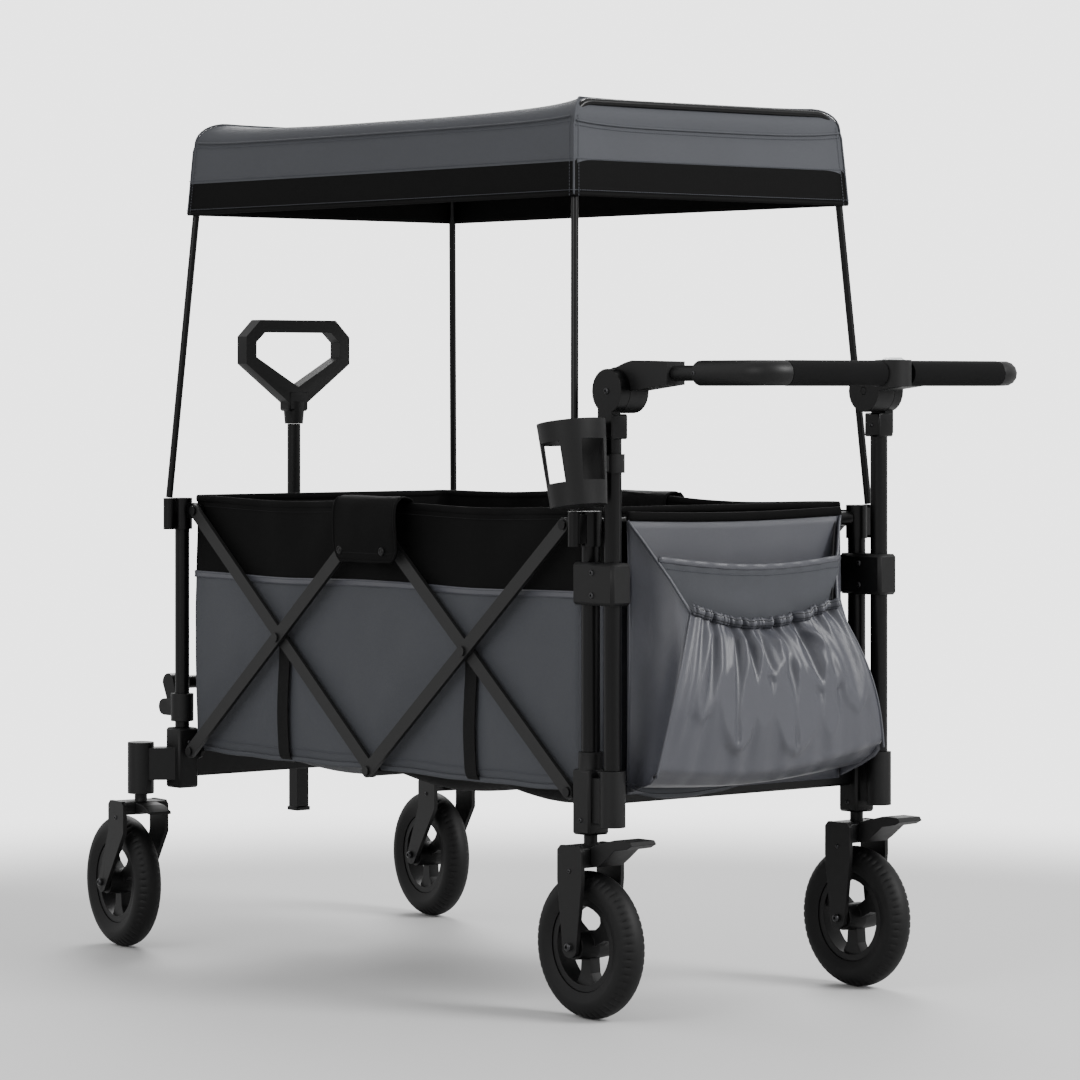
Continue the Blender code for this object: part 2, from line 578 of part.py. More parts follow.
def push_handle():
    pivot = (HINGE_X, 0.0, HINGE_Z)
    sleeve_x, elbow_x = HINGE_X - ARM_SLEEVE_BACK, HINGE_X - ELBOW_BACK
    for side, sign in SIDES.items():
        inner, outer = sign * HINGE_BARREL_Y, sign * (HINGE_SPLIT_Y - 0.0005)
        wrap = arc((HINGE_X, HINGE_Z), HINGE_RADIUS + 0.0022, 40, 90, 5) + [
            (HINGE_X - 0.016, ARM_Z + 0.0135), (HINGE_X - 0.030, ARM_Z + 0.0165),
            (sleeve_x, ARM_Z + 0.0150), (sleeve_x, ARM_Z - 0.0145),
            (HINGE_X - 0.030, ARM_Z - 0.022), (HINGE_X, HINGE_Z)]
        bore = cylinder((HINGE_X, sign * 0.20, HINGE_Z), (HINGE_X, sign * 0.24, HINGE_Z),
                        AXLE_RADIUS + RUNNING, 12)
        solid(f"hinge_housing_{side}", [
            cylinder((HINGE_X, inner, HINGE_Z), (HINGE_X, outer, HINGE_Z), HINGE_RADIUS, 24),
            prism(wrap, "Y", inner, outer),
        ], "moulded_plastic", cuts=[bore], pivot=pivot)
        arm_y = sign * (HINGE_BARREL_Y + HINGE_SPLIT_Y) / 2
        corner = (CROSSBAR_X + ELBOW_BEND, abs(arm_y) - ELBOW_BEND)
        bend = [(x, sign * y, ARM_Z) for x, y in arc(corner, ELBOW_BEND, 90, 180, 8)]
        solid(f"push_arm_{side}", [
            swept([(elbow_x, arm_y, ARM_Z)] + bend + [(CROSSBAR_X, sign * bend_end(arm_y), ARM_Z)],
                  GRIP_RADIUS, 14),
            cylinder((sleeve_x - SLIP, arm_y, ARM_Z), (elbow_x - 0.005, arm_y, ARM_Z), ARM_RADIUS, 14),
        ], "moulded_plastic", pivot=pivot)
        grip_end = sign * (bend_end(arm_y) - SLIP)
        foam = cylinder((CROSSBAR_X, sign * (DRUM_RADIUS + SLIP), ARM_Z), (CROSSBAR_X, grip_end, ARM_Z),
                        GRIP_RADIUS, 18)
        core = cylinder((CROSSBAR_X, 0, ARM_Z), (CROSSBAR_X, sign * 0.22, ARM_Z), ARM_RADIUS + SLIP, 14)
        solid(f"foam_grip_{side}", [foam], "foam", cuts=[core], pivot=pivot)
    drum_top = ARM_Z + DRUM_HEIGHT / 2
    reach = bend_end((HINGE_BARREL_Y + HINGE_SPLIT_Y) / 2) - SLIP
    solid("push_crossbar", [
        cylinder((CROSSBAR_X, -reach, ARM_Z), (CROSSBAR_X, reach, ARM_Z), ARM_RADIUS, 14),
        cylinder((CROSSBAR_X, 0, ARM_Z - DRUM_HEIGHT / 2), (CROSSBAR_X, 0, drum_top), DRUM_RADIUS, 28),
    ], "moulded_plastic", cuts=[
        cylinder((CROSSBAR_X, 0, drum_top - 0.009), (CROSSBAR_X, 0, drum_top + 0.01),
                 BUTTON_RADIUS + RUNNING, 24),
    ], pivot=pivot)
    button_foot = drum_top - 0.009 + BUTTON_TRAVEL + 0.0008
    solid("release_button", [
        cylinder((CROSSBAR_X, 0, button_foot), (CROSSBAR_X, 0, drum_top + 0.001), BUTTON_RADIUS, 24),
        cylinder((CROSSBAR_X, 0, drum_top + 0.0005), (CROSSBAR_X, 0, drum_top + 0.003),
                 BUTTON_RADIUS - 0.0005, 24,
                 BUTTON_RADIUS - 0.004),
    ], "button_plastic", pivot=(CROSSBAR_X, 0.0, drum_top))


def bend_end(arm_y):
    """Where the elbow piece ends on the crossbar."""
    return abs(arm_y) - ELBOW_BEND - ELBOW_STRAIGHT


# ---- pull handle -------------------------------------------------------------------------
def pull_handle():
    inner = POST_Y - 0.009
    for side, sign in SIDES.items():
        y = sign * POST_Y
        near, far = sorted((sign * (POST_Y - 0.008), sign * (POST_Y + 0.008)))
        boss = [(POST_X, YOKE_Z - 0.012), (YOKE_X, YOKE_Z - 0.012)]
        boss += arc((YOKE_X, YOKE_Z), 0.012, -60, 60, 6) + [(YOKE_X, YOKE_Z + 0.012),
                                                            (POST_X, YOKE_Z + 0.012)]
        solid(f"yoke_bracket_{side}", [
            cylinder((POST_X, y, YOKE_BRACKET_Z[0]), (POST_X, y, YOKE_BRACKET_Z[1]), 0.0165, 18),
            prism(boss, "Y", near, far),
            cylinder((YOKE_X, y, YOKE_Z), (YOKE_X, sign * (inner - 0.015), YOKE_Z), AXLE_RADIUS, 12),
        ], "moulded_plastic", cuts=[
            cylinder((POST_X, y, 0.30), (POST_X, y, 0.40), FRONT_POST_RADIUS + RUNNING, 16),
        ])
    ears = []
    holes = []
    for sign in SIDES.values():
        ear = arc((YOKE_X, YOKE_Z), 0.012, 180, 360, 8) + arc((POLE_X, YOKE_BAR_Z), 0.014, 0, 180, 8)
        ears.append(prism(ear, "Y", sign * (inner - 0.0005), sign * (inner - 0.0125)))
        holes.append(cylinder((YOKE_X, sign * 0.20, YOKE_Z), (YOKE_X, sign * 0.25, YOKE_Z),
                              AXLE_RADIUS + RUNNING, 12))
    pivot = (YOKE_X, 0.0, YOKE_Z)
    bore_foot = YOKE_BAR_Z + 0.016
    sleeve_bore = cylinder((POLE_X, 0, bore_foot), (POLE_X, 0, POLE_SLEEVE_TOP + 0.01),
                           POLE_RADIUS + RUNNING, 18)
    solid("pull_yoke", [
        cylinder((POLE_X, -inner + 0.006, YOKE_BAR_Z), (POLE_X, inner - 0.006, YOKE_BAR_Z), 0.0095, 14),
        *ears,
        cylinder((POLE_X, 0, YOKE_BAR_Z - 0.012), (POLE_X, 0, YOKE_BAR_Z + 0.05), 0.016, 18),
        cylinder((POLE_X, 0, YOKE_BAR_Z), (POLE_X, 0, POLE_SLEEVE_TOP), POLE_SLEEVE_RADIUS, 18),
    ], "frame_steel", cuts=[sleeve_bore, *holes], pivot=pivot)
    solid("pull_pole", [
        cylinder((POLE_X, 0, bore_foot + 0.002), (POLE_X, 0, GRIP_COLLAR_Z), POLE_RADIUS, 18),
    ], "frame_steel", pivot=(POLE_X, 0.0, bore_foot))
    pull_grip()


def pull_grip():
    """A six-sided loop on a collar."""
    wide = GRIP_HALF_WIDTH
    foot = GRIP_COLLAR_Z
    outer = [(0.012, foot + 0.028), (wide, foot + 0.089), (wide, foot + 0.129), (wide - 0.026, GRIP_TOP_Z)]
    wall = 0.0185
    hole = [(0.0, foot + 0.055), (wide - wall, foot + 0.099), (wide - wall, foot + 0.121),
            (wide - wall - 0.016, GRIP_TOP_Z - wall)]
    outline = outer + [(-y, z) for y, z in reversed(outer)]
    opening = hole + [(-y, z) for y, z in reversed(hole[1:])]
    half = 0.0115
    solid("pull_grip", [
        prism(outline, "X", POLE_X - half, POLE_X + half),
        cylinder((POLE_X, 0, foot + SLIP), (POLE_X, 0, foot + 0.033), 0.0135, 18, 0.0165),
        block((POLE_X - 0.013, -0.018, foot + 0.019), (POLE_X + 0.013, 0.018, foot + 0.049), 0.003),
    ], "moulded_plastic", cuts=[prism(opening, "X", POLE_X - 0.05, POLE_X + 0.05)], pivot=(POLE_X, 0.0,
                                                                                           GRIP_COLLAR_Z))


# ---- soft parts --------------------------------------------------------------------------
def chamfered(half_x, half_y, corner):
    points = [(half_x, half_y - corner), (half_x - corner, half_y)]
    right = points + [(-x, y) for x, y in reversed(points)]
    return right + [(-x, -y) for x, y in right]


def fabric_tub():
    """The open tub with its floor board, its corners cut back round the posts."""
    outer = prism(chamfered(TUB_X, TUB_Y, TUB_CORNER), "Z", TUB_FLOOR_Z, RIM_Z)
    inner = prism(chamfered(TUB_X - TUB_WALL, TUB_Y - TUB_WALL, TUB_CORNER), "Z", TUB_FLOOR_Z + TUB_BOARD,
                  RIM_Z + 0.05)
    solid("fabric_tub", [outer], "grey_fabric", cuts=[inner])


def rear_pocket():
    """A storage pocket that hangs behind the tub and bellies out towards its foot."""
    back = -POST_X - RAIL_RADIUS - 0.004
    low, high = POCKET_Z
    far = -POST_X - POCKET_BULGE
    outline = [(back, high), (back, low), (far + 0.022, low + 0.022), (far, low + 0.060),
               (far + 0.010, low + 0.130),
               (back - 0.036, high - 0.045), (back - 0.030, high - 0.005)]
    inside = [(back - POCKET_WALL, high + 0.01), (back - POCKET_WALL, low + 0.008),
              (far + 0.026, low + 0.030),
              (far + POCKET_WALL, low + 0.062), (far + 0.010 + POCKET_WALL, low + 0.130),
              (back - 0.036 + POCKET_WALL, high - 0.045), (back - 0.030 + POCKET_WALL, high + 0.01)]
    half = POCKET_HALF_WIDTH
    solid("rear_pocket", [prism(outline, "Y", -half, half)], "grey_fabric",
          cuts=[prism(inside, "Y", -half + POCKET_WALL, half - POCKET_WALL)])


def canopy_span(z):
    """Half length and half width between the rods' centre lines at a height."""
    share = (z - RIM_Z) / (HEM_Z - RIM_Z)
    return (POST_X - ROD_FOOT_INSET - ROD_LEAN_X * share, POST_Y + ROD_OUTBOARD - ROD_LEAN_Y * share)


def canopy():
    """Two bent rods and the cover over them, open underneath."""
    arch_z = CANOPY_TOP_Z - CLOTH - ROD_RADIUS - 0.0015
    lean = math.hypot(ROD_LEAN_X, ROD_LEAN_Y) / (HEM_Z - RIM_Z)
    foot_z = RIM_Z + SLIP + ROD_RADIUS * lean
    bend = 0.028
    for name, end in (("canopy_rod_rear", -1), ("canopy_rod_front", 1)):
        half_top = canopy_span(arch_z)[1]
        side = [(canopy_span(foot_z)[1], foot_z)] + arc((half_top - bend, arch_z - bend), bend, 4, 90, 6)
        points = side + [(-y, z) for y, z in reversed(side)]
        solid(name, [swept([(end * canopy_span(z)[0], y, z) for y, z in points], ROD_RADIUS, 10)],
              "frame_steel")
    room = ROD_RADIUS + 0.001
    solid("canopy_cloth", [canopy_block(room + CLOTH, HEM_Z, CANOPY_TOP_Z)], "grey_fabric",
          cuts=[canopy_block(room, HEM_Z - 0.05, CANOPY_TOP_Z - CLOTH)])


def canopy_block(margin, low, high):
    """A box that follows the rods' lean, with its long top edges rounded."""
    corner = CANOPY_CORNER
    top_half = canopy_span(high)[1] + margin
    side = [(canopy_span(low)[1] + margin, low)]
    side += arc((top_half - corner, high - corner), corner, 4, 90, 6)
    outline = side + [(-y, z) for y, z in reversed(side)]
    shape = prism(outline, "X", -1.0, 1.0)
    for vertex in shape.verts:
        vertex.co.x *= canopy_span(vertex.co.z)[0] + margin
    return shape


# ---- cup holder --------------------------------------------------------------------------
def cup_holder():
    """An open cup on a ring clamped round the left handle tube."""
    low, high = CUP_Z
    x, y = -POST_X - CUP_BACK, POST_Y + CUP_OUTBOARD
    cup = cylinder((x, y, low), (x, y, high), CUP_RADIUS - 0.008, 24, CUP_RADIUS)
    inside = cylinder((x, y, low + 0.004), (x, y, high + 0.004), CUP_RADIUS - 0.011, 24, CUP_RADIUS - 0.003)
    windows = [block((x - 0.06, y - 0.018, low + 0.030), (x + 0.06, y + 0.018, high - 0.026)),
               block((x - 0.018, y, low + 0.030), (x + 0.018, y + 0.06, high - 0.026))]
    middle = Vector((x, y, (low + high) / 2))
    tilt = Matrix.Translation(middle) @ Matrix.Rotation(CUP_TILT, 4, "Y") @ Matrix.Translation(-middle)
    ring_z = (low + high) / 2
    ring = cylinder((TUBE_X, POST_Y, ring_z - 0.012), (TUBE_X, POST_Y, ring_z + 0.012),
                    HANDLE_TUBE_RADIUS + 0.004, 18)
    neck = block((TUBE_X - 0.008, POST_Y + 0.010, ring_z - 0.010),
                 (TUBE_X + 0.008, y - CUP_RADIUS + 0.010, ring_z + 0.010))
    bore = cylinder((TUBE_X, POST_Y, low), (TUBE_X, POST_Y, high), HANDLE_TUBE_RADIUS + SLIP, 16)
    solid("cup_holder", [placed(cup, tilt), ring, neck], "moulded_plastic",
          cuts=[bore, placed(inside, tilt), *[placed(window, tilt) for window in windows]])


def main():
    for leftover in list(bpy.data.objects):
        bpy.data.objects.remove(leftover)
    for name in FINISHES:
        finish_material(name)
    wheels()
    rear_castings()
    front_castings()
    posts_and_top_rails()
    bottom_rails()
    scissor_bars()
    handle_tubes()
    push_handle()
    pull_handle()
    fabric_tub()
    rear_pocket()
    canopy()
    cup_holder()


main()
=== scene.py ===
# %% [markdown]
# # A folding pull wagon, finished for a picture
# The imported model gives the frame, the joints and every hard part at its true size. This script adds
# what a maker would do next: it breaks the sharp edges, moulds the tyres, sews the fabric and gives
# each finish its own grain, weave and sheen. Nothing of the frame is moved.

# %% Load the frame
import json
import math

import bmesh
import bpy
from mathutils import Matrix, Vector, noise


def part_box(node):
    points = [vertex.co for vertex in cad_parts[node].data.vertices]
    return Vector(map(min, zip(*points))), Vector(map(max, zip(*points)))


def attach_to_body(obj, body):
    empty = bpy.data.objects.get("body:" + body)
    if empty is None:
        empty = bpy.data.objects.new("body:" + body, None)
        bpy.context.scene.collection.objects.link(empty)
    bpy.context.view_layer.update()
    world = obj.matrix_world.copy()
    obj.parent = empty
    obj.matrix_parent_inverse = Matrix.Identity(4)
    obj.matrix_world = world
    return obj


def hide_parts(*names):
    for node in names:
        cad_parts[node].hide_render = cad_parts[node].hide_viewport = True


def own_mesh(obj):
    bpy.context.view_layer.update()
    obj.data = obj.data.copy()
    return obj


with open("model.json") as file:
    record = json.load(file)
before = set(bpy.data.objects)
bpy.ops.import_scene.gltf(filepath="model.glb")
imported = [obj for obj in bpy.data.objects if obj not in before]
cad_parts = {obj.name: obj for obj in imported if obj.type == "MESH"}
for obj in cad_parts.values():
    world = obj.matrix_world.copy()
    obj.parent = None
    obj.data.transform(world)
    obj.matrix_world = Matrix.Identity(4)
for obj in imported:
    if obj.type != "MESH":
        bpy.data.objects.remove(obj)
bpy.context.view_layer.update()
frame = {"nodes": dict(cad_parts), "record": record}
SIDES = {"left": 1, "right": -1}


# %% [markdown]
# ## Where things are
# The corner posts give the middle of the wagon, and every later place is counted from there. Reading
# them from the frame, and not from memory, keeps the sewn parts on the posts if the frame changes.

# %% Key places
def centre_of(node):
    low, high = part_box(node)
    return (low + high) / 2


REAR_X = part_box("rear_top_rail")[0].x / 2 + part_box("rear_top_rail")[1].x / 2
FRONT_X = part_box("front_top_rail")[0].x / 2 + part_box("front_top_rail")[1].x / 2
MIDDLE_X = (REAR_X + FRONT_X) / 2
HALF_SPAN = (FRONT_X - REAR_X) / 2
TUB_LOW, TUB_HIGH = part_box("fabric_tub")
RIM_Z = TUB_HIGH.z
PIVOT_X = HALF_SPAN - 0.038
FOLDED_SHARE = 0.274         # length of the folded tub over its open length
FOLD_TRAVEL = 2 * PIVOT_X * (1 - FOLDED_SHARE)
TUB_FOLD = ((MIDDLE_X - PIVOT_X, 0.0, 0.0), FOLDED_SHARE)


def at(x, y, z):
    """A place counted from the point on the ground midway between the posts."""
    return Vector((MIDDLE_X + x, y, z))


print("posts at", round(REAR_X, 3), round(FRONT_X, 3), "rim at", round(RIM_Z, 3))

# %% [markdown]
# ## The camera
# A product picture is taken from far off with a long lens, which keeps upright things parallel. The
# camera looks level, and the lens is shifted to bring the wagon into the middle of the picture.

# %% Camera
camera_data = bpy.data.cameras.new("studio_camera")
camera_data.lens = 145.3
camera_data.sensor_width = 36.0
camera_data.shift_y = -0.1412
camera_data.clip_end = 200.0
camera = bpy.data.objects.new("studio_camera", camera_data)
camera.location = at(-4.691, 3.898, 0.811)
camera.rotation_euler = (math.radians(90), 0.0, math.radians(-130.135))
bpy.context.scene.collection.objects.link(camera)
bpy.context.scene.camera = camera
print("camera at", tuple(round(value, 2) for value in camera.location))

# %% [markdown]
# ## Helpers for shader nodes
# Each effect that several finishes share is one node group, built once: a plain weave, a moulded
# grain, and the slow change of tone that any real surface has. Materials place these groups with
# their own numbers and keep the shader itself outside.


# %% Node helpers
def new_group(name, inputs, outputs):
    """A shader node group. inputs are (name, type, default), outputs are (name, type)."""
    tree = bpy.data.node_groups.new(name, "ShaderNodeTree")
    for label, kind, default in inputs:
        socket = tree.interface.new_socket(name=label, in_out="INPUT", socket_type=kind)
        if default is not None:
            socket.default_value = default
    for label, kind in outputs:
        tree.interface.new_socket(name=label, in_out="OUTPUT", socket_type=kind)
    return tree, tree.nodes.new("NodeGroupInput"), tree.nodes.new("NodeGroupOutput")


def math_node(tree, operation, *values):
    node = tree.nodes.new("ShaderNodeMath")
    node.operation = operation
    for index, value in enumerate(values):
        if isinstance(value, (int, float)):
            node.inputs[index].default_value = value
        else:
            tree.links.new(value, node.inputs[index])
    return node.outputs[0]


def noise_node(tree, vector, scale, detail=3.0, roughness=0.5):
    node = tree.nodes.new("ShaderNodeTexNoise")
    node.inputs["Detail"].default_value = detail
    node.inputs["Roughness"].default_value = roughness
    if isinstance(scale, (int, float)):
        node.inputs["Scale"].default_value = scale
    else:
        tree.links.new(scale, node.inputs["Scale"])
    tree.links.new(vector, node.inputs["Vector"])
    return node.outputs["Fac"]


def span_node(tree, value, low, high):
    """Maps 0..1 onto low..high."""
    node = tree.nodes.new("ShaderNodeMapRange")
    tree.links.new(value, node.inputs["Value"])
    node.inputs["To Min"].default_value = low
    node.inputs["To Max"].default_value = high
    return node.outputs["Result"]


print("shader helpers ready")


# %% Shared effects
def weave_group():
    """Crossing threads that pass over and under each other, as in plain-woven polyester."""
    tree, inputs, outputs = new_group(
        "Plain weave",
        [("Vector", "NodeSocketVector", None), ("Threads per metre", "NodeSocketFloat", 1500.0)],
        [("Height", "NodeSocketFloat"), ("Shade", "NodeSocketFloat")])
    split = tree.nodes.new("ShaderNodeSeparateXYZ")
    tree.links.new(inputs.outputs["Vector"], split.inputs[0])
    threads = inputs.outputs["Threads per metre"]
    across = math_node(tree, "MULTIPLY", split.outputs["X"], threads)
    along = math_node(tree, "MULTIPLY", split.outputs["Y"], threads)
    warp, weft = [
        math_node(tree, "ABSOLUTE", math_node(tree, "SINE", math_node(tree, "MULTIPLY", count, math.pi)))
        for count in (across, along)]
    cells = math_node(tree, "ADD", math_node(tree, "FLOOR", across), math_node(tree, "FLOOR", along))
    over = math_node(tree, "PINGPONG", cells, 1.0)
    under = math_node(tree, "SUBTRACT", 1.0, over)
    raised = math_node(tree, "MULTIPLY", warp, over)
    height = math_node(tree, "ADD", raised, math_node(tree, "MULTIPLY", weft, under))
    slub = noise_node(tree, inputs.outputs["Vector"], 260.0, 2.0)
    tree.links.new(height, outputs.inputs["Height"])
    shade = span_node(tree, math_node(tree, "MULTIPLY", height, slub), 0.90, 1.22)
    tree.links.new(shade, outputs.inputs["Shade"])
    return tree


def grain_group():
    """The fine sandy texture of moulded nylon or powder coat."""
    tree, inputs, outputs = new_group(
        "Moulded grain", [("Vector", "NodeSocketVector", None), ("Scale", "NodeSocketFloat", 900.0)],
        [("Height", "NodeSocketFloat")])
    fine = noise_node(tree, inputs.outputs["Vector"], inputs.outputs["Scale"], 4.0, 0.65)
    tree.links.new(fine, outputs.inputs["Height"])
    return tree


def tone_group():
    """Slow patches of lighter and darker tone, from handling and dust."""
    tree, inputs, outputs = new_group(
        "Slow tone", [("Vector", "NodeSocketVector", None), ("Scale", "NodeSocketFloat", 9.0)],
        [("Tone", "NodeSocketFloat"), ("Dust", "NodeSocketFloat")])
    slow = noise_node(tree, inputs.outputs["Vector"], inputs.outputs["Scale"], 5.0, 0.6)
    tree.links.new(span_node(tree, slow, 0.86, 1.14), outputs.inputs["Tone"])
    speck = noise_node(tree, inputs.outputs["Vector"], 140.0, 3.0, 0.7)
    patches, specks = math_node(tree, "POWER", slow, 2.0), math_node(tree, "POWER", speck, 2.0)
    dust = math_node(tree, "MULTIPLY", patches, specks)
    tree.links.new(dust, outputs.inputs["Dust"])
    return tree


WEAVE = weave_group()
GRAIN = grain_group()
TONE = tone_group()
print("shared effects:", WEAVE.name, GRAIN.name, TONE.name)


# %% [markdown]
# ## The finishes
# A hard finish is a Principled shader with the grain on its bump and the slow tone on its colour and
# roughness. Cloth reads its own UV map, which is laid out in metres, so every panel has the same
# thread count and the weave turns with the cut of the cloth.


# %% Hard finishes
def shader_of(material):
    return material.node_tree.nodes["Principled BSDF"]


def place_group(tree, group, vector, **values):
    node = tree.nodes.new("ShaderNodeGroup")
    node.node_tree = group
    tree.links.new(vector, node.inputs["Vector"])
    for label, value in values.items():
        node.inputs[label.replace("_", " ")].default_value = value
    return node


def tinted(tree, colour, factor):
    """The colour times a factor that changes over the surface."""
    node = tree.nodes.new("ShaderNodeVectorMath")
    node.operation = "SCALE"
    node.inputs[0].default_value = colour
    tree.links.new(factor, node.inputs["Scale"])
    return node.outputs[0]


def bumped(tree, height, strength, distance):
    node = tree.nodes.new("ShaderNodeBump")
    node.inputs["Strength"].default_value = strength
    node.inputs["Distance"].default_value = distance
    tree.links.new(height, node.inputs["Height"])
    return node.outputs["Normal"]


def hard_finish(name, colour, roughness, metallic=0.0, grain=900.0, depth=0.00006, coat=0.0, specular=0.5):
    material = bpy.data.materials.new(name)
    material.use_nodes = True
    tree = material.node_tree
    shader = shader_of(material)
    place = tree.nodes.new("ShaderNodeTexCoord").outputs["Object"]
    tone = place_group(tree, TONE, place, Scale=7.0)
    fine = place_group(tree, GRAIN, place, Scale=grain)
    dusty = math_node(tree, "MULTIPLY", tone.outputs["Dust"], 0.35)
    factor = math_node(tree, "ADD", tone.outputs["Tone"], dusty)
    tree.links.new(tinted(tree, colour, factor), shader.inputs["Base Color"])
    rough = math_node(tree, "MULTIPLY", span_node(tree, tone.outputs["Tone"], 0.92, 1.10), roughness)
    tree.links.new(rough, shader.inputs["Roughness"])
    tree.links.new(bumped(tree, fine.outputs["Height"], 0.5, depth), shader.inputs["Normal"])
    shader.inputs["Metallic"].default_value = metallic
    shader.inputs["Coat Weight"].default_value = coat
    shader.inputs["Coat Roughness"].default_value = 0.3
    shader.inputs["Specular IOR Level"].default_value = specular
    return material


FRAME_STEEL = hard_finish("black_powder_coat", (0.0010, 0.0010, 0.0011), 0.30,
                          grain=1400.0, depth=0.00004, coat=0.04, specular=0.18)
BAR_STEEL = hard_finish("charcoal_powder_coat", (0.0070, 0.0070, 0.0070), 0.46,
                        grain=1200.0, depth=0.00004, specular=0.28)
NYLON = hard_finish("moulded_nylon", (0.0024, 0.0024, 0.0025), 0.44, grain=800.0, depth=0.00008, specular=0.24)
TYRE = hard_finish("tyre_rubber", (0.0018, 0.0018, 0.0019), 0.56, grain=500.0, depth=0.00010, specular=0.24)
FOAM = hard_finish("grip_foam", (0.0018, 0.0018, 0.0019), 0.90, grain=380.0, depth=0.00025, specular=0.18)
SCREW_STEEL = hard_finish("blackened_screw", (0.035, 0.035, 0.037), 0.30, metallic=0.8, depth=0.00003)
BUTTON_GREY = hard_finish("grey_button", (0.50, 0.51, 0.52), 0.30, grain=600.0, depth=0.00003, coat=0.3)
print("hard finishes:", len(bpy.data.materials))


# %% Cloth finishes
def cloth_finish(name, colour, roughness, threads=1500.0, sheen=0.25, depth=0.00012, specular=0.35):
    """Woven polyester that reads the panel's own UV map in metres."""
    material = bpy.data.materials.new(name)
    material.use_nodes = True
    tree = material.node_tree
    shader = shader_of(material)
    cut = tree.nodes.new("ShaderNodeUVMap")
    cut.uv_map = "cut"
    weave = place_group(tree, WEAVE, cut.outputs["UV"], Threads_per_metre=threads)
    place = tree.nodes.new("ShaderNodeTexCoord").outputs["Object"]
    tone = place_group(tree, TONE, place, Scale=5.0)
    factor = math_node(tree, "MULTIPLY", weave.outputs["Shade"], tone.outputs["Tone"])
    tree.links.new(tinted(tree, colour, factor), shader.inputs["Base Color"])
    rough = math_node(tree, "MULTIPLY", span_node(tree, weave.outputs["Height"], 1.08, 0.95), roughness)
    tree.links.new(rough, shader.inputs["Roughness"])
    crease = noise_node(tree, place, 38.0, 4.0, 0.55)
    height = math_node(tree, "ADD", weave.outputs["Height"], math_node(tree, "MULTIPLY", crease, 6.0))
    tree.links.new(bumped(tree, height, 0.6, depth), shader.inputs["Normal"])
    shader.inputs["Sheen Weight"].default_value = sheen
    shader.inputs["Sheen Roughness"].default_value = 0.45
    shader.inputs["Specular IOR Level"].default_value = specular
    return material


GREY_CLOTH = cloth_finish("slate_polyester", (0.0330, 0.0352, 0.0412), 0.72, sheen=0.04)
SATIN_CLOTH = cloth_finish("slate_satin", (0.0330, 0.0345, 0.0435), 0.42,
                           threads=1800.0, sheen=0.05, depth=0.00007, specular=0.60)
BLACK_CLOTH = cloth_finish("black_polyester", (0.0006, 0.0006, 0.0006), 0.72,
                           threads=1300.0, sheen=0.0, depth=0.00010, specular=0.09)
MAT_CLOTH = cloth_finish("charcoal_mat", (0.0050, 0.0050, 0.0054), 0.70,
                         threads=900.0, sheen=0.02, depth=0.00020, specular=0.20)
WEBBING = cloth_finish("black_webbing", (0.0009, 0.0009, 0.0010), 0.70,
                       threads=600.0, sheen=0.0, depth=0.00040, specular=0.16)
GREY_THREAD = hard_finish("slate_thread", (0.040, 0.043, 0.052), 0.7, grain=2000.0, depth=0.00005)
BLACK_THREAD = hard_finish("black_thread", (0.0070, 0.0070, 0.0075), 0.7,
                           grain=2000.0, depth=0.00005, specular=0.2)
print("all finishes:", len(bpy.data.materials))

# %% [markdown]
# ## Helpers for meshes
# Panels are grids whose rows a small function works out. The UV map stores the distance walked along
# the rows and columns, which is the flat cut of the cloth. Bindings and piping are round bars swept
# along a path.


# %% Mesh helpers
def new_piece(name, mesh, materials):
    piece = bpy.data.objects.new(name, mesh)
    bpy.context.scene.collection.objects.link(piece)
    for material in materials:
        mesh.materials.append(material)
    return piece


def panel(name, rows, materials, pick=None, closed=False):
    """A grid of points made into cloth. pick(row, column) gives a face's material index."""
    mesh = bpy.data.meshes.new(name)
    wide, tall = len(rows[0]), len(rows)
    points = [point for row in rows for point in row]
    faces, slots = [], []
    last = wide if closed else wide - 1
    for r in range(tall - 1):
        for c in range(last):
            n = (c + 1) % wide
            faces.append((r * wide + c, r * wide + n, (r + 1) * wide + n, (r + 1) * wide + c))
            slots.append(pick(r, c) if pick else 0)
    mesh.from_pydata([tuple(point) for point in points], [], faces)
    middle = rows[tall // 2]
    across = [0.0]
    for a, b in zip(middle, list(middle[1:]) + [middle[0]]):
        across.append(across[-1] + (Vector(b) - Vector(a)).length)
    along = [0.0]
    for a, b in zip(rows, rows[1:]):
        along.append(along[-1] + (Vector(b[wide // 2]) - Vector(a[wide // 2])).length)
    layer = mesh.uv_layers.new(name="cut")
    index = 0
    for r in range(tall - 1):
        for c in range(last):
            for column, row in ((c, r), (c + 1, r), (c + 1, r + 1), (c, r + 1)):
                layer.data[index].uv = (across[column], along[row])
                index += 1
    mesh.polygons.foreach_set("material_index", slots)
    mesh.shade_smooth()
    return new_piece(name, mesh, materials)


print("panels ready")


# %% [markdown]
# ## Bars swept along a path
# A ring of points is carried along the path and turned as little as possible from one place to the
# next, so a cord or a binding never twists. An open bar gets a face at each end.


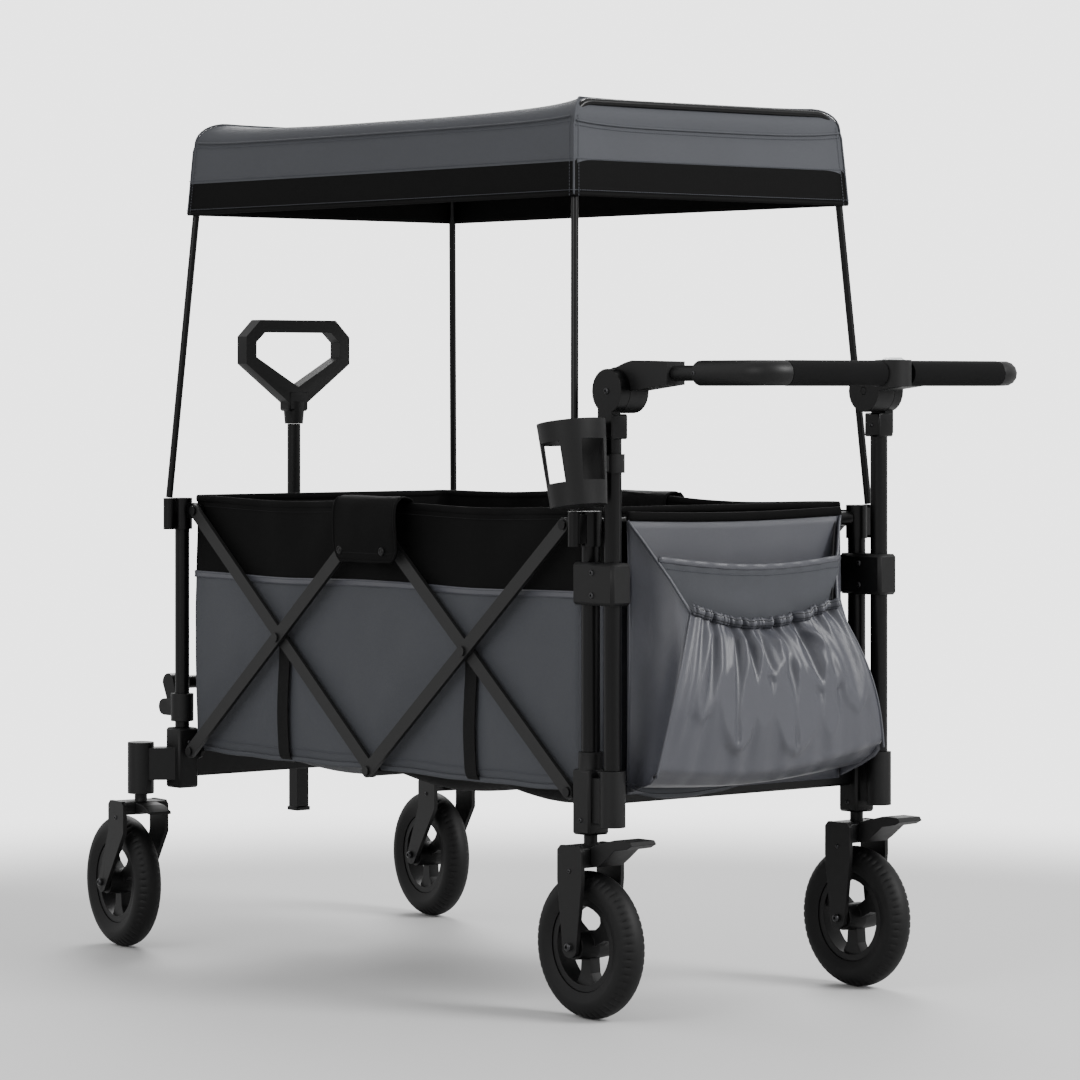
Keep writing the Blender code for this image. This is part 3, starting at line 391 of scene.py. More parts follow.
# %% Swept bars
def swept_mesh(path, radius, sides=10, closed=False, flat=1.0):
    """Points and faces of a bar along a path. flat squeezes it along the second direction."""
    path = [Vector(point) for point in path]
    points, faces = [], []
    normal = None
    count = len(path)
    for index, point in enumerate(path):
        before = path[index - 1] if closed or index else path[0]
        after = path[(index + 1) % count] if closed or index < count - 1 else path[-1]
        tangent = (after - before).normalized()
        if normal is None:
            normal = tangent.orthogonal().normalized()
            upward = Vector((0, 0, 1))
            if abs(tangent.z) < 0.9:
                normal = (upward - tangent * upward.dot(tangent)).normalized()
        normal = (normal - tangent * normal.dot(tangent)).normalized()
        side = tangent.cross(normal)
        for step in range(sides):
            angle = 2 * math.pi * step / sides
            points.append(point + normal * radius * math.cos(angle) + side * radius * flat * math.sin(angle))
    rings = count if closed else count - 1
    for ring in range(rings):
        for step in range(sides):
            a, b = ring * sides, ((ring + 1) % count) * sides
            n = (step + 1) % sides
            faces.append((a + step, a + n, b + n, b + step))
    if not closed:
        faces.append(tuple(reversed(range(sides))))
        faces.append(tuple((count - 1) * sides + step for step in range(sides)))
    return points, faces


def cord_piece(name, path, radius, material, sides=10, closed=False, flat=1.0):
    points, faces = swept_mesh(path, radius, sides, closed, flat)
    mesh = bpy.data.meshes.new(name)
    mesh.from_pydata([tuple(point) for point in points], [], faces)
    repair_normals(mesh)
    mesh.shade_smooth()
    lay_out(mesh)
    return new_piece(name, mesh, [material])


def repair_normals(mesh):
    work = bmesh.new()
    work.from_mesh(mesh)
    bmesh.ops.recalc_face_normals(work, faces=work.faces)
    work.to_mesh(mesh)
    work.free()


def lay_out(mesh):
    """A box layout of the UV map in metres, for small parts."""
    layer = mesh.uv_layers.get("cut") or mesh.uv_layers.new(name="cut")
    for face in mesh.polygons:
        axis = max(range(3), key=lambda i: abs(face.normal[i]))
        keep = [i for i in range(3) if i != axis]
        for loop in face.loop_indices:
            point = mesh.vertices[mesh.loops[loop].vertex_index].co
            layer.data[loop].uv = (point[keep[0]], point[keep[1]])


print("swept bars ready")


# %% [markdown]
# ## Finishing a piece
# Solidify gives cloth its thickness and Subdivision Surface rounds it. Both are made part of the mesh
# before the piece is told which body carries it.


# %% Finishing helpers
def applied(piece):
    """The piece with its modifiers made part of its mesh."""
    mesh = bpy.data.meshes.new_from_object(piece.evaluated_get(bpy.context.evaluated_depsgraph_get()))
    piece.modifiers.clear()
    piece.data = mesh
    return piece


def thicken(piece, thickness, offset=-1.0, inner_slot=0):
    solidify = piece.modifiers.new("thickness", "SOLIDIFY")
    solidify.thickness = thickness
    solidify.offset = offset
    solidify.material_offset = inner_slot
    return piece


def soften(piece, levels=1):
    smooth = piece.modifiers.new("soften", "SUBSURF")
    smooth.levels = levels
    smooth.render_levels = levels
    return piece


def attach(piece, body, fold=None, stands_for=()):
    """The piece rides on its body. fold holds a place and a share, but only its presence is used: it gives the
    piece its own mesh.
    """
    if fold:
        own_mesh(piece)
    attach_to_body(piece, body)
    if stands_for:
        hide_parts(*stands_for)
    return piece


def ripple(*values):
    """Smooth, repeatable noise from -1 to 1."""
    return noise.noise(Vector(values))


print("helpers ready")

# %% [markdown]
# ## Hard parts with broken edges
# Moulded nylon and bent steel never have knife edges: a small radius catches a line of light. Each
# hard part is copied from the frame, its loose triangles are merged, flat areas are made one face
# again, and a Bevel modifier with two segments rounds what is left.

# %% Break the edges
BODY_OF = {node: body for body, nodes in frame["record"]["behaviour"]["bodies"].items() for node in nodes}
SLOT_OF = {part["node"]: part["material_slot"] for part in frame["record"]["subparts"]}
FINISH_OF = {"frame_steel": FRAME_STEEL, "bar_steel": BAR_STEEL, "moulded_plastic": NYLON, "foam": FOAM,
             "button_plastic": BUTTON_GREY, "tyre_rubber": TYRE}


def broken_edges(node, material, width=0.0008):
    mesh = frame["nodes"][node].data.copy()
    mesh.materials.clear()
    work = bmesh.new()
    work.from_mesh(mesh)
    bmesh.ops.remove_doubles(work, verts=work.verts, dist=0.00002)
    bmesh.ops.dissolve_limit(work, angle_limit=math.radians(1.0), verts=work.verts, edges=work.edges)
    work.to_mesh(mesh)
    work.free()
    mesh.shade_smooth()
    mesh.set_sharp_from_angle(angle=math.radians(38))
    piece = new_piece(node + "_finished", mesh, [material])
    bevel = piece.modifiers.new("broken edge", "BEVEL")
    bevel.width = width
    bevel.segments = 2
    bevel.limit_method = "ANGLE"
    bevel.angle_limit = math.radians(38)
    bevel.harden_normals = True
    applied(piece)
    return attach(piece, BODY_OF[node], stands_for=[node])


SOFT_OR_REMADE = {"fabric_tub", "rear_pocket", "canopy_cloth"}
REMADE = {f"{end}_tyre_{side}" for end in ("rear", "front") for side in SIDES}
hard_nodes = sorted(set(frame["nodes"]) - SOFT_OR_REMADE - REMADE)
for node in hard_nodes:
    broken_edges(node, FINISH_OF[SLOT_OF[node]])
print("edges broken on", len(hard_nodes), "hard parts")


# %% [markdown]
# ## Screws
# Button-head screws hold the clamps, the castings and the hinges. One head is modelled with its hex
# socket. A Geometry Nodes group then puts a copy on every point and turns it to face outwards.


# %% Screws
def screw_head(radius=0.0040, height=0.0022, sides=24):
    """A button head that faces +Z, with a hex socket."""
    profile = [(1.0, -0.3), (1.0, 0.25), (0.90, 0.62), (0.70, 0.90), (0.52, 1.0), (0.46, 0.96), (0.44, 0.25),
               (0.02, 0.25)]
    rows = []
    for share, rise in profile:
        ring = []
        for step in range(sides):
            angle = 2 * math.pi * step / sides
            reach = radius * share
            if share < 0.5:
                reach *= math.cos(math.radians(30)) / math.cos(angle % math.radians(60) - math.radians(30))
            ring.append(Vector((reach * math.cos(angle), reach * math.sin(angle), rise * height)))
        rows.append(ring)
    piece = panel("screw_pattern", rows, [SCREW_STEEL], closed=True)
    repair_normals(piece.data)
    piece.data.set_sharp_from_angle(angle=math.radians(40))
    return piece


print("screw pattern ready")


# %% [markdown]
# ## Putting the screw on every point
# The group reads the direction that is stored on each point, turns the pattern to it, and ends with
# real geometry and one material, so the result is a plain mesh.


# %% Copies on points
def fastener_group():
    tree = bpy.data.node_groups.new("Copies on points", "GeometryNodeTree")
    tree.interface.new_socket(name="Geometry", in_out="INPUT", socket_type="NodeSocketGeometry")
    tree.interface.new_socket(name="Pattern", in_out="INPUT", socket_type="NodeSocketObject")
    tree.interface.new_socket(name="Scale", in_out="INPUT", socket_type="NodeSocketFloat").default_value = 1.0
    tree.interface.new_socket(name="Material", in_out="INPUT", socket_type="NodeSocketMaterial")
    tree.interface.new_socket(name="Geometry", in_out="OUTPUT", socket_type="NodeSocketGeometry")
    make, link = tree.nodes.new, tree.links.new
    given, result = make("NodeGroupInput"), make("NodeGroupOutput")
    facing = make("GeometryNodeInputNamedAttribute")
    facing.data_type = "FLOAT_VECTOR"
    facing.inputs["Name"].default_value = "facing"
    turn = make("FunctionNodeAlignRotationToVector")
    turn.axis = "Z"
    link(facing.outputs["Attribute"], turn.inputs["Vector"])
    pattern = make("GeometryNodeObjectInfo")
    link(given.outputs["Pattern"], pattern.inputs["Object"])
    place = make("GeometryNodeInstanceOnPoints")
    link(given.outputs["Geometry"], place.inputs["Points"])
    link(pattern.outputs["Geometry"], place.inputs["Instance"])
    link(turn.outputs["Rotation"], place.inputs["Rotation"])
    link(given.outputs["Scale"], place.inputs["Scale"])
    real = make("GeometryNodeRealizeInstances")
    link(place.outputs["Instances"], real.inputs["Geometry"])
    paint = make("GeometryNodeSetMaterial")
    link(real.outputs["Geometry"], paint.inputs["Geometry"])
    link(given.outputs["Material"], paint.inputs["Material"])
    link(paint.outputs["Geometry"], result.inputs["Geometry"])
    return tree


COPIES = fastener_group()


def group_inputs(tree):
    return {item.name: item.identifier for item in tree.interface.items_tree
            if item.item_type == "SOCKET" and item.in_out == "INPUT"}


def grown(piece, tree, **values):
    """Runs a Geometry Nodes group on the piece and keeps the result as its mesh."""
    growth = piece.modifiers.new("growth", "NODES")
    growth.node_group = tree
    names = group_inputs(tree)
    for label, value in values.items():
        growth[names[label]] = value
    return applied(piece)


def screws(name, places, body, scale=1.0):
    """places are (point, outward direction)."""
    mesh = bpy.data.meshes.new(name)
    mesh.from_pydata([tuple(point) for point, _ in places], [], [])
    facing = mesh.attributes.new("facing", "FLOAT_VECTOR", "POINT")
    for item, (_, direction) in zip(facing.data, places):
        item.vector = direction
    piece = grown(new_piece(name, mesh, []), COPIES, Pattern=SCREW_PATTERN, Scale=scale, Material=SCREW_STEEL)
    return attach(piece, body)


print("copies on points:", list(group_inputs(COPIES)))


# %% [markdown]
# ## Where the screws go
# Clamps and castings are held from the side, the hinges through their pivots, and each fork by its
# axle bolts and by the pins of its pedal or lever. Each set rides on the body that it holds.


# %% Place the screws
SCREW_PATTERN = screw_head()
POST_Y = 0.238               # from the middle of the wagon to the axis of a corner post
CASTING_HALF = 0.0175        # half the width of a casting
CASTER_TURN = Matrix.Rotation(math.radians(-8), 3, "Z")


def clamp_and_casting_screws(side, sign):
    low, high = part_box(f"rear_clamp_{side}")
    middle = (low.x + high.x) / 2
    heights = (low.z + 0.013, high.z - 0.013)
    clamp = [(Vector((middle, edge, z)), (0, way, 0))
             for edge, way in ((low.y, -1), (high.y, 1)) for z in heights]
    screws(f"clamp_screws_{side}", clamp, BODY_OF[f"rear_clamp_{side}"])
    outer, inner = sign * (POST_Y + CASTING_HALF), sign * (POST_Y - CASTING_HALF)
    screws(f"rear_casting_screws_{side}", [
        (Vector((REAR_X, outer, 0.256)), (0, sign, 0)),
        (Vector((REAR_X - CASTING_HALF, sign * POST_Y, 0.300)), (-1, 0, 0)),
        (Vector((REAR_X, inner, 0.250)), (0, -sign, 0))], "rear_frame", 0.8)
    screws(f"front_casting_screws_{side}", [
        (Vector((FRONT_X, outer, 0.262)), (0, sign, 0)),
        (Vector((FRONT_X - CASTING_HALF, sign * POST_Y, 0.300)), (-1, 0, 0))], "front_lower", 0.8)


def push_handle_screws(side, sign):
    low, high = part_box(f"handle_tube_{side}")
    disc = high.y if sign > 0 else low.y
    hinge_x, hinge_z = MIDDLE_X - HALF_SPAN - 0.047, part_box(f"hinge_housing_{side}")[0].z + 0.0285
    screws(f"hinge_screw_{side}", [(Vector((hinge_x, disc, hinge_z)), (0, sign, 0))], "rear_frame", 1.1)
    tube_x, sleeve_z = MIDDLE_X - HALF_SPAN - 0.043, hinge_z - 0.046
    screws(f"sleeve_screw_{side}", [
        (Vector((tube_x, sign * (POST_Y + 0.014), sleeve_z)), (0, sign, 0)),
        (Vector((tube_x, sign * (POST_Y - 0.014), sleeve_z)), (0, -sign, 0))], "rear_frame", 0.75)
    arm_x, arm_y, arm_z = hinge_x - 0.148, sign * 0.22075, hinge_z + 0.0225
    screws(f"arm_screws_{side}", [
        (Vector((arm_x, arm_y + 0.0158, arm_z)), (0, 1, 0)),
        (Vector((arm_x, arm_y - 0.0158, arm_z)), (0, -1, 0))], "push_handle", 0.7)


def fork_screws(end, side):
    """Axle bolts, and the pins that hold the pedal or lever. The front casters stand turned."""
    turn, trail = (Matrix.Identity(3), 0.0) if end == "rear" else (CASTER_TURN, -0.0468)
    axle = centre_of(f"{end}_tyre_{side}")
    outward = turn @ Vector((0, 1, 0))
    body = BODY_OF[f"{end}_fork_{side}"]
    bolts = [(axle + outward * way * 0.0390, outward * way) for way in (1, -1)]
    screws(f"{end}_axle_bolts_{side}", bolts, body, 1.35)
    crown = axle + turn @ Vector((trail, 0.0, 0.097))
    pins = [(crown + outward * way * 0.0366, outward * way) for way in (1, -1)]
    screws(f"{end}_fork_pins_{side}", pins, body, 0.75)


for side, sign in SIDES.items():
    clamp_and_casting_screws(side, sign)
    push_handle_screws(side, sign)
    for end in ("rear", "front"):
        fork_screws(end, side)
bpy.data.objects.remove(SCREW_PATTERN)
print("screws placed")

# %% [markdown]
# ## Tyres
# The tyre is a round section turned about the axle. Fine cross cuts on both shoulders of the tread
# are part of the turned surface: the radius dips a little at even steps, so the outline shows them.


# %% Tyres
def tyre(node, turn, cuts=56, steps=5, section=22):
    centre = centre_of(node)
    low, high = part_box(node)
    outer = (high.z - low.z) / 2
    round_radius = 0.020
    ring = outer - round_radius
    seat = 0.0603
    rows = []
    total = cuts * steps
    for step in range(total):
        angle = 2 * math.pi * step / total
        row = []
        for index in range(section + 1):
            sweep = math.radians(-100 + 200 * index / section)
            radius = ring + round_radius * math.cos(sweep)
            across = round_radius * math.sin(sweep)
            shoulder = max(0.0, 1 - abs(abs(math.degrees(sweep)) - 42) / 20)
            if step % steps == 0:
                radius -= 0.0014 * min(1.0, shoulder * 2) * math.cos(sweep)
                across -= 0.0014 * min(1.0, shoulder * 2) * math.sin(sweep)
            row.append(Vector((radius * math.cos(angle), across, radius * math.sin(angle))))
        row += [Vector((seat * math.cos(angle), bead, seat * math.sin(angle))) for bead in (0.0144, -0.0144)]
        row.append(row[0])
        rows.append([centre + turn @ point for point in row])
    rows.append(rows[0])
    piece = panel(node + "_moulded", rows, [TYRE])
    work = bmesh.new()
    work.from_mesh(piece.data)
    bmesh.ops.remove_doubles(work, verts=work.verts, dist=0.00001)
    bmesh.ops.recalc_face_normals(work, faces=work.faces)
    work.to_mesh(piece.data)
    work.free()
    piece.data.set_sharp_from_angle(angle=math.radians(40))
    return attach(piece, BODY_OF[node], stands_for=[node])


for side in SIDES:
    tyre(f"rear_tyre_{side}", Matrix.Identity(3))
    tyre(f"front_tyre_{side}", CASTER_TURN)
print("tyres moulded: 4")

# %% [markdown]
# ## The canopy
# The real cover is one sheet pulled over two bent rods, with a black band round its hem. Between
# the rods the cloth hangs in tension, so the roof dips just inside each rod and then runs straight.
# The grid follows the rods: up a side, over the rounded corner, across the roof and down again, with
# a separate grid for each end wall, and the rows are merged where they meet.

# %% Canopy cover
CANOPY_LOW, CANOPY_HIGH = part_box("canopy_cloth")
HEM_Z, ROOF_Z = CANOPY_LOW.z, CANOPY_HIGH.z
HEM_X = (CANOPY_HIGH.x - CANOPY_LOW.x) / 2
HEM_Y = (CANOPY_HIGH.y - CANOPY_LOW.y) / 2
CANOPY_FOLD = ((CANOPY_LOW.x, 0.0, 0.0), 1 - FOLD_TRAVEL / (2 * HEM_X))
BAND_Z = HEM_Z + 0.043
CANOPY_LEAN_X, CANOPY_LEAN_Y = 0.0096, 0.0080
ROOF_CORNER = 0.034
END_ROUND = 0.026
WALL_ROWS, ROOF_COLUMNS, LONG_ROWS = 20, 40, 60


def eased(count, ends=1.6):
    """Values from -1 to 1 that crowd towards both ends."""
    return [math.copysign(1 - (1 - abs(t)) ** ends, t) for t in
            (2 * index / count - 1 for index in range(count + 1))]


def canopy_half(z):
    """Half the cover's length and width at a height. The ends round over into the roof."""
    share = (z - HEM_Z) / (ROOF_Z - HEM_Z)
    over = max(0.0, min(1.0, (z - ROOF_Z + END_ROUND) / END_ROUND))
    rounding = END_ROUND * (1 - math.sqrt(1 - over * over))
    return HEM_X - CANOPY_LEAN_X * share - rounding, HEM_Y - CANOPY_LEAN_Y * share


def arch_point(y_share):
    """Height and side place of the roof line at a share of the half width."""
    half = canopy_half(ROOF_Z)[1]
    y = y_share * half
    inside = half - ROOF_CORNER
    if abs(y) <= inside:
        return y, ROOF_Z
    reach = min(1.0, (abs(y) - inside) / ROOF_CORNER)
    return y, ROOF_Z - ROOF_CORNER * (1 - math.sqrt(max(0.0, 1 - reach * reach)))


def settle(point):
    """Lets the cloth sag: the roof dips inside the rods, the walls draw in between the corners."""
    x, y, z = point.x - MIDDLE_X, point.y, point.z
    half_x, half_y = canopy_half(z)
    u, v = min(1.0, abs(x) / half_x), min(1.0, abs(y) / half_y)
    roof = max(0.0, min(1.0, (z - (ROOF_Z - 0.05)) / 0.05))
    edge_x = 1 - math.exp(-((1 - u) * half_x) / 0.045)
    edge_y = 1 - math.exp(-((1 - v) * half_y) / 0.035)
    drop = roof * (0.0095 * edge_x + 0.006 * (1 - u * u) * (0.4 + 0.6 * edge_y))
    drop += roof * 0.0035 * edge_y * u ** 6
    low = 1 - roof
    pull_y = 0.0055 * (1 - u ** 2.5) * (0.35 + 0.65 * low) + roof * 0.004 * edge_x
    pull_x = 0.0045 * (1 - v ** 2.5) * low
    if v > 0.9:
        y -= math.copysign(pull_y * (v - 0.9) / 0.1, y)
    if u > 0.97:
        x -= math.copysign(pull_x * (u - 0.97) / 0.03, x)
    wave = ripple(x * 5.0, y * 5.0, z * 9.0) * 0.0012
    return at(x, y - math.copysign(abs(wave), y) * (v > 0.9), z - drop + wave * roof)


print("canopy half size:", round(HEM_X, 3), round(HEM_Y, 3), "roof at", round(ROOF_Z, 3))


# %% [markdown]
# ## The grids of the canopy
# Rows crowd towards the rods and corners, where the cloth turns fastest, and are sparse on the flat.


# %% Canopy grids
def canopy_rows():
    """Arches from rear to front; each walks up one wall, over the roof and down the other."""
    columns = eased(ROOF_COLUMNS, 1.9)
    rows = []
    for share in eased(LONG_ROWS, 2.2):
        row = []
        start_z = arch_point(-1.0)[1]
        for step in range(WALL_ROWS):
            z = HEM_Z + (start_z - HEM_Z) * step / WALL_ROWS
            half_x, half_y = canopy_half(z)
            row.append(Vector((MIDDLE_X + share * half_x, -half_y, z)))
        for column in columns:
            y, z = arch_point(column)
            row.append(Vector((MIDDLE_X + share * canopy_half(z)[0], y, z)))
        row += [Vector((point.x, -point.y, point.z)) for point in reversed(row[:WALL_ROWS])]
        rows.append(row)
    return rows


def end_wall_rows(end):
    columns = eased(ROOF_COLUMNS, 1.9)
    rows = []
    for step in range(WALL_ROWS + 1):
        row = []
        for column in columns:
            y_top, z_top = arch_point(column)
            z = HEM_Z + (z_top - HEM_Z) * step / WALL_ROWS
            half_x, half_y = canopy_half(z)
            y = column * half_y if step < WALL_ROWS else y_top
            row.append(Vector((MIDDLE_X + end * half_x, y, z)))
        rows.append(row)
    return rows


def joined(name, panels, materials, merge=0.0006):
    """Several panels sewn into one mesh."""
    work = bmesh.new()
    for piece in panels:
        work.from_mesh(piece.data)
        bpy.data.objects.remove(piece)
    bmesh.ops.remove_doubles(work, verts=work.verts, dist=merge)
    bmesh.ops.recalc_face_normals(work, faces=work.faces)
    mesh = bpy.data.meshes.new(name)
    work.to_mesh(mesh)
    work.free()
    mesh.shade_smooth()
    return new_piece(name, mesh, materials)


def canopy_cover():
    arches = canopy_rows()
    cover = panel("canopy_arches", arches, [])
    walls = [panel("canopy_wall", end_wall_rows(end), []) for end in (-1, 1)]
    piece = joined("canopy_cover", [cover, *walls], [GREY_CLOTH, BLACK_CLOTH, BLACK_CLOTH])
    for face in piece.data.polygons:
        face.material_index = 1 if face.center.z < BAND_Z else 0
    for vertex in piece.data.vertices:
        vertex.co = settle(vertex.co)
    if outward_share(piece.data) < 0.5:
        piece.data.flip_normals()
    soften(piece)
    thicken(piece, 0.0014, -1.0, 1)
    applied(piece)
    return attach(piece, "rear_upper", fold=CANOPY_FOLD, stands_for=["canopy_cloth"])


def outward_share(mesh):
    """Share of faces that look away from the middle of the mesh."""
    middle = sum((vertex.co for vertex in mesh.vertices), Vector()) / len(mesh.vertices)
    return sum((face.center - middle).dot(face.normal) > 0 for face in mesh.polygons) / len(mesh.polygons)


canopy = canopy_cover()
print("canopy cover:", len(canopy.data.polygons), "faces")

# %% [markdown]
# ## Sewing: piping, bindings and stitches
# A seam is a path. The same path gives a round piping cord, a flat binding or a row of stitches. The
# stitches are one small capsule placed again and again along the path by a Geometry Nodes group, each
# turned along the thread.


# %% Sewing helpers
def stitch_group():
    tree = bpy.data.node_groups.new("Stitches along a path", "GeometryNodeTree")
    tree.interface.new_socket(name="Geometry", in_out="INPUT", socket_type="NodeSocketGeometry")
    for label, size in (("Pitch", 0.004), ("Thread", 0.0004)):
        socket = tree.interface.new_socket(name=label, in_out="INPUT", socket_type="NodeSocketFloat")
        socket.default_value = size
    tree.interface.new_socket(name="Material", in_out="INPUT", socket_type="NodeSocketMaterial")
    tree.interface.new_socket(name="Geometry", in_out="OUTPUT", socket_type="NodeSocketGeometry")
    make, link = tree.nodes.new, tree.links.new
    given, result = make("NodeGroupInput"), make("NodeGroupOutput")
    curve = make("GeometryNodeMeshToCurve")
    link(given.outputs["Geometry"], curve.inputs["Mesh"])
    even = make("GeometryNodeResampleCurve")
    even.mode = "LENGTH"
    link(curve.outputs["Curve"], even.inputs["Curve"])
    link(given.outputs["Pitch"], even.inputs["Length"])
    tangent = make("GeometryNodeInputTangent")
    turn = make("FunctionNodeAlignRotationToVector")
    turn.axis = "Z"
    link(tangent.outputs["Tangent"], turn.inputs["Vector"])
    stitch = make("GeometryNodeMeshCylinder")
    stitch.inputs["Vertices"].default_value = 6
    link(given.outputs["Thread"], stitch.inputs["Radius"])
    length = make("ShaderNodeMath")
    length.operation = "MULTIPLY"
    length.inputs[1].default_value = 0.62
    link(given.outputs["Pitch"], length.inputs[0])
    link(length.outputs[0], stitch.inputs["Depth"])
    place = make("GeometryNodeInstanceOnPoints")
    link(even.outputs["Curve"], place.inputs["Points"])
    link(stitch.outputs["Mesh"], place.inputs["Instance"])
    link(turn.outputs["Rotation"], place.inputs["Rotation"])
    real = make("GeometryNodeRealizeInstances")
    link(place.outputs["Instances"], real.inputs["Geometry"])
    paint = make("GeometryNodeSetMaterial")
    link(real.outputs["Geometry"], paint.inputs["Geometry"])
    link(given.outputs["Material"], paint.inputs["Material"])
    link(paint.outputs["Geometry"], result.inputs["Geometry"])
    return tree


STITCHES = stitch_group()
print("stitch group inputs:", list(group_inputs(STITCHES)))

# %% [markdown]
# ## Stitches, sheets and smooth paths
# These helpers turn seam paths into rows of thread, give a panel its thickness and sew it on, and
# round a few given points into one smooth path.


# %% Stitches, sheets and smooth paths
def stitches(name, paths, material, pitch=0.0042, thread=0.00042):
    points, edges = [], []
    for path in paths:
        start = len(points)
        points += [tuple(point) for point in path]
        edges += [(index, index + 1) for index in range(start, len(points) - 1)]
    mesh = bpy.data.meshes.new(name)
    mesh.from_pydata(points, edges, [])
    piece = new_piece(name, mesh, [])
    return grown(piece, STITCHES, Pitch=pitch, Thread=thread, Material=material)


def sewn(piece, fold=TUB_FOLD):
    return attach(piece, "rear_upper", fold=fold)


def cloth_sheet(piece):
    return piece


def sheet_piece(name, rows, material, thickness, fold=TUB_FOLD):
    """A cloth panel with its thickness, sewn on."""
    piece = panel(name, rows, [material])
    thicken(piece, thickness, 0.0)
    applied(piece)
    sewn(piece, fold)
    return cloth_sheet(piece)


def curve_through(points, steps=12):
    """A smooth path through the given points."""
    points = [Vector(point) for point in points]
    ends = [2 * points[0] - points[1]] + points + [2 * points[-1] - points[-2]]
    path = []
    for index in range(1, len(ends) - 2):
        before, here, after, beyond = ends[index - 1:index + 3]
        for step in range(steps):
            t = step / steps
            curve = (2 * before - 5 * here + 4 * after - beyond) * t ** 2
            twist = (3 * here - before - 3 * after + beyond) * t ** 3
            path.append(0.5 * ((2 * here) + (after - before) * t + curve + twist))
    return path + [points[-1]]


print("sewing helpers ready")

# %% [markdown]
# ## Seams of the canopy
# The seams follow the settled cloth: each path is worked out on the unsagged cover and then settled
# by the same function, so it lies on the sheet.

# %% Canopy seams
def on_cover(x_share, y_share, z, out=0.0012):
    """A place on the cover, a little outside it. A share of 1 or -1 is a wall."""
    half_x, half_y = canopy_half(z)
    place = settle(Vector((MIDDLE_X + x_share * half_x, y_share * half_y, z)))
    away = Vector((0.0, 0.0, 0.0))
    if abs(x_share) > 0.999:
        away.x = math.copysign(out, x_share)
    if abs(y_share) > 0.999:
        away.y = math.copysign(out, y_share)
    return place + away


def arch_seam(end):
    """The welt where an end wall meets the rest: up one corner, over the roof and down the other."""
    foot = [HEM_Z + (ROOF_Z - ROOF_CORNER - HEM_Z) * step / 16 for step in range(16)]
    path = [on_cover(end, -0.999, z, 0.0006) for z in foot]
    for column in eased(48, 1.9):
        y, z = arch_point(column)
        edge = settle(Vector((MIDDLE_X + end * canopy_half(z)[0], y, z)))
        path.append(edge + Vector((end * 0.0005, 0.0, 0.0008)))
    return path + [on_cover(end, 0.999, z, 0.0006) for z in reversed(foot)]


def canopy_seams():
    seam_z = ROOF_Z - ROOF_CORNER * 0.80
    shares = [index / 60 * 2 - 1 for index in range(61)]
    piping, hems, threads = [], [], []
    for side in (-1, 1):
        piping.append([on_cover(share * 0.985, side, seam_z, 0.0010) for share in shares])
        threads.append([on_cover(share * 0.985, side, seam_z - 0.007, 0.0012) for share in shares])
        threads.append([on_cover(share, side, HEM_Z + 0.006, 0.0012) for share in shares])
        threads.append([on_cover(share, side, BAND_Z + 0.004, 0.0012) for share in shares])
        hems.append([on_cover(share, side, HEM_Z + 0.0010, 0.0) for share in shares])
    for end in (-1, 1):
        wall_seam = seam_z - 0.012
        lifts = [0.006 * share ** 4 for share in shares]
        piping.append([on_cover(end, share * 0.985, wall_seam + lift, 0.0010)
                       for share, lift in zip(shares, lifts)])
        threads.append([on_cover(end, share * 0.98, wall_seam - 0.006 + lift, 0.0012)
                        for share, lift in zip(shares, lifts)])
        threads.append([on_cover(end, share, HEM_Z + 0.006, 0.0012) for share in shares])
        threads.append([on_cover(end, share, BAND_Z + 0.004, 0.0012) for share in shares])
        hems.append([on_cover(end, share, HEM_Z + 0.0010, 0.0) for share in shares])
        piping.append(arch_seam(end))
        for side in (-1, 1):
            heights = [HEM_Z + (seam_z - HEM_Z) * step / 16 for step in range(17)]
            threads.append([on_cover(end * 0.984, side, z, 0.0012) for z in heights])
            threads.append([on_cover(end, side * 0.965, z, 0.0012) for z in heights])
    for number, path in enumerate(piping):
        sewn(cord_piece(f"canopy_piping_{number}", path, 0.0013, GREY_CLOTH, 8), CANOPY_FOLD)
    for number, path in enumerate(hems):
        sewn(cord_piece(f"canopy_hem_{number}", path, 0.0030, BLACK_CLOTH, 10, flat=0.45), CANOPY_FOLD)
    sewn(stitches("canopy_stitches", threads, GREY_THREAD), CANOPY_FOLD)
    return len(piping) + len(hems)


cloth_sheet(canopy)
print("canopy seams:", canopy_seams())

# %% [markdown]
# ## The tub
# One continuous sheet: it starts at the rim, goes down all four sides and turns in a little at the foot.
# A closed ring of columns is worked out at each height. The side cloth is held by the scissor bars, so
# it lies flat behind each bar and swells a few millimetres between them. The floor sags a little.

# %% Tub
HALF_X = (TUB_HIGH.x - TUB_LOW.x) / 2
HALF_Y = (TUB_HIGH.y - TUB_LOW.y) / 2
TUB_FOOT_Z = TUB_LOW.z - 0.006
BAND_FOOT_Z = 0.548
TUB_CORNER = 0.020
BARS = []
for lean in (-1, 1):
    BARS += [((lean * PIVOT_X, 0.289), (0.0, 0.634)), ((lean * PIVOT_X, 0.634), (0.0, 0.289))]
    BARS += [((lean * PIVOT_X / 2, 0.461), (lean * PIVOT_X / 2, 0.280))]


def bar_distance(x, z):
    """How far a place on the side is from the nearest scissor bar or strap."""
    nearest = 1.0
    for (x0, z0), (x1, z1) in BARS:
        reach = Vector((x1 - x0, z1 - z0))
        share = max(0.0, min(1.0, Vector((x - x0, z - z0)).dot(reach) / reach.length_squared))
        nearest = min(nearest, (Vector((x0, z0)) + reach * share - Vector((x, z))).length)
    return nearest


def step_up(value, low, high):
    t = max(0.0, min(1.0, (value - low) / (high - low)))
    return t * t * (3 - 2 * t)


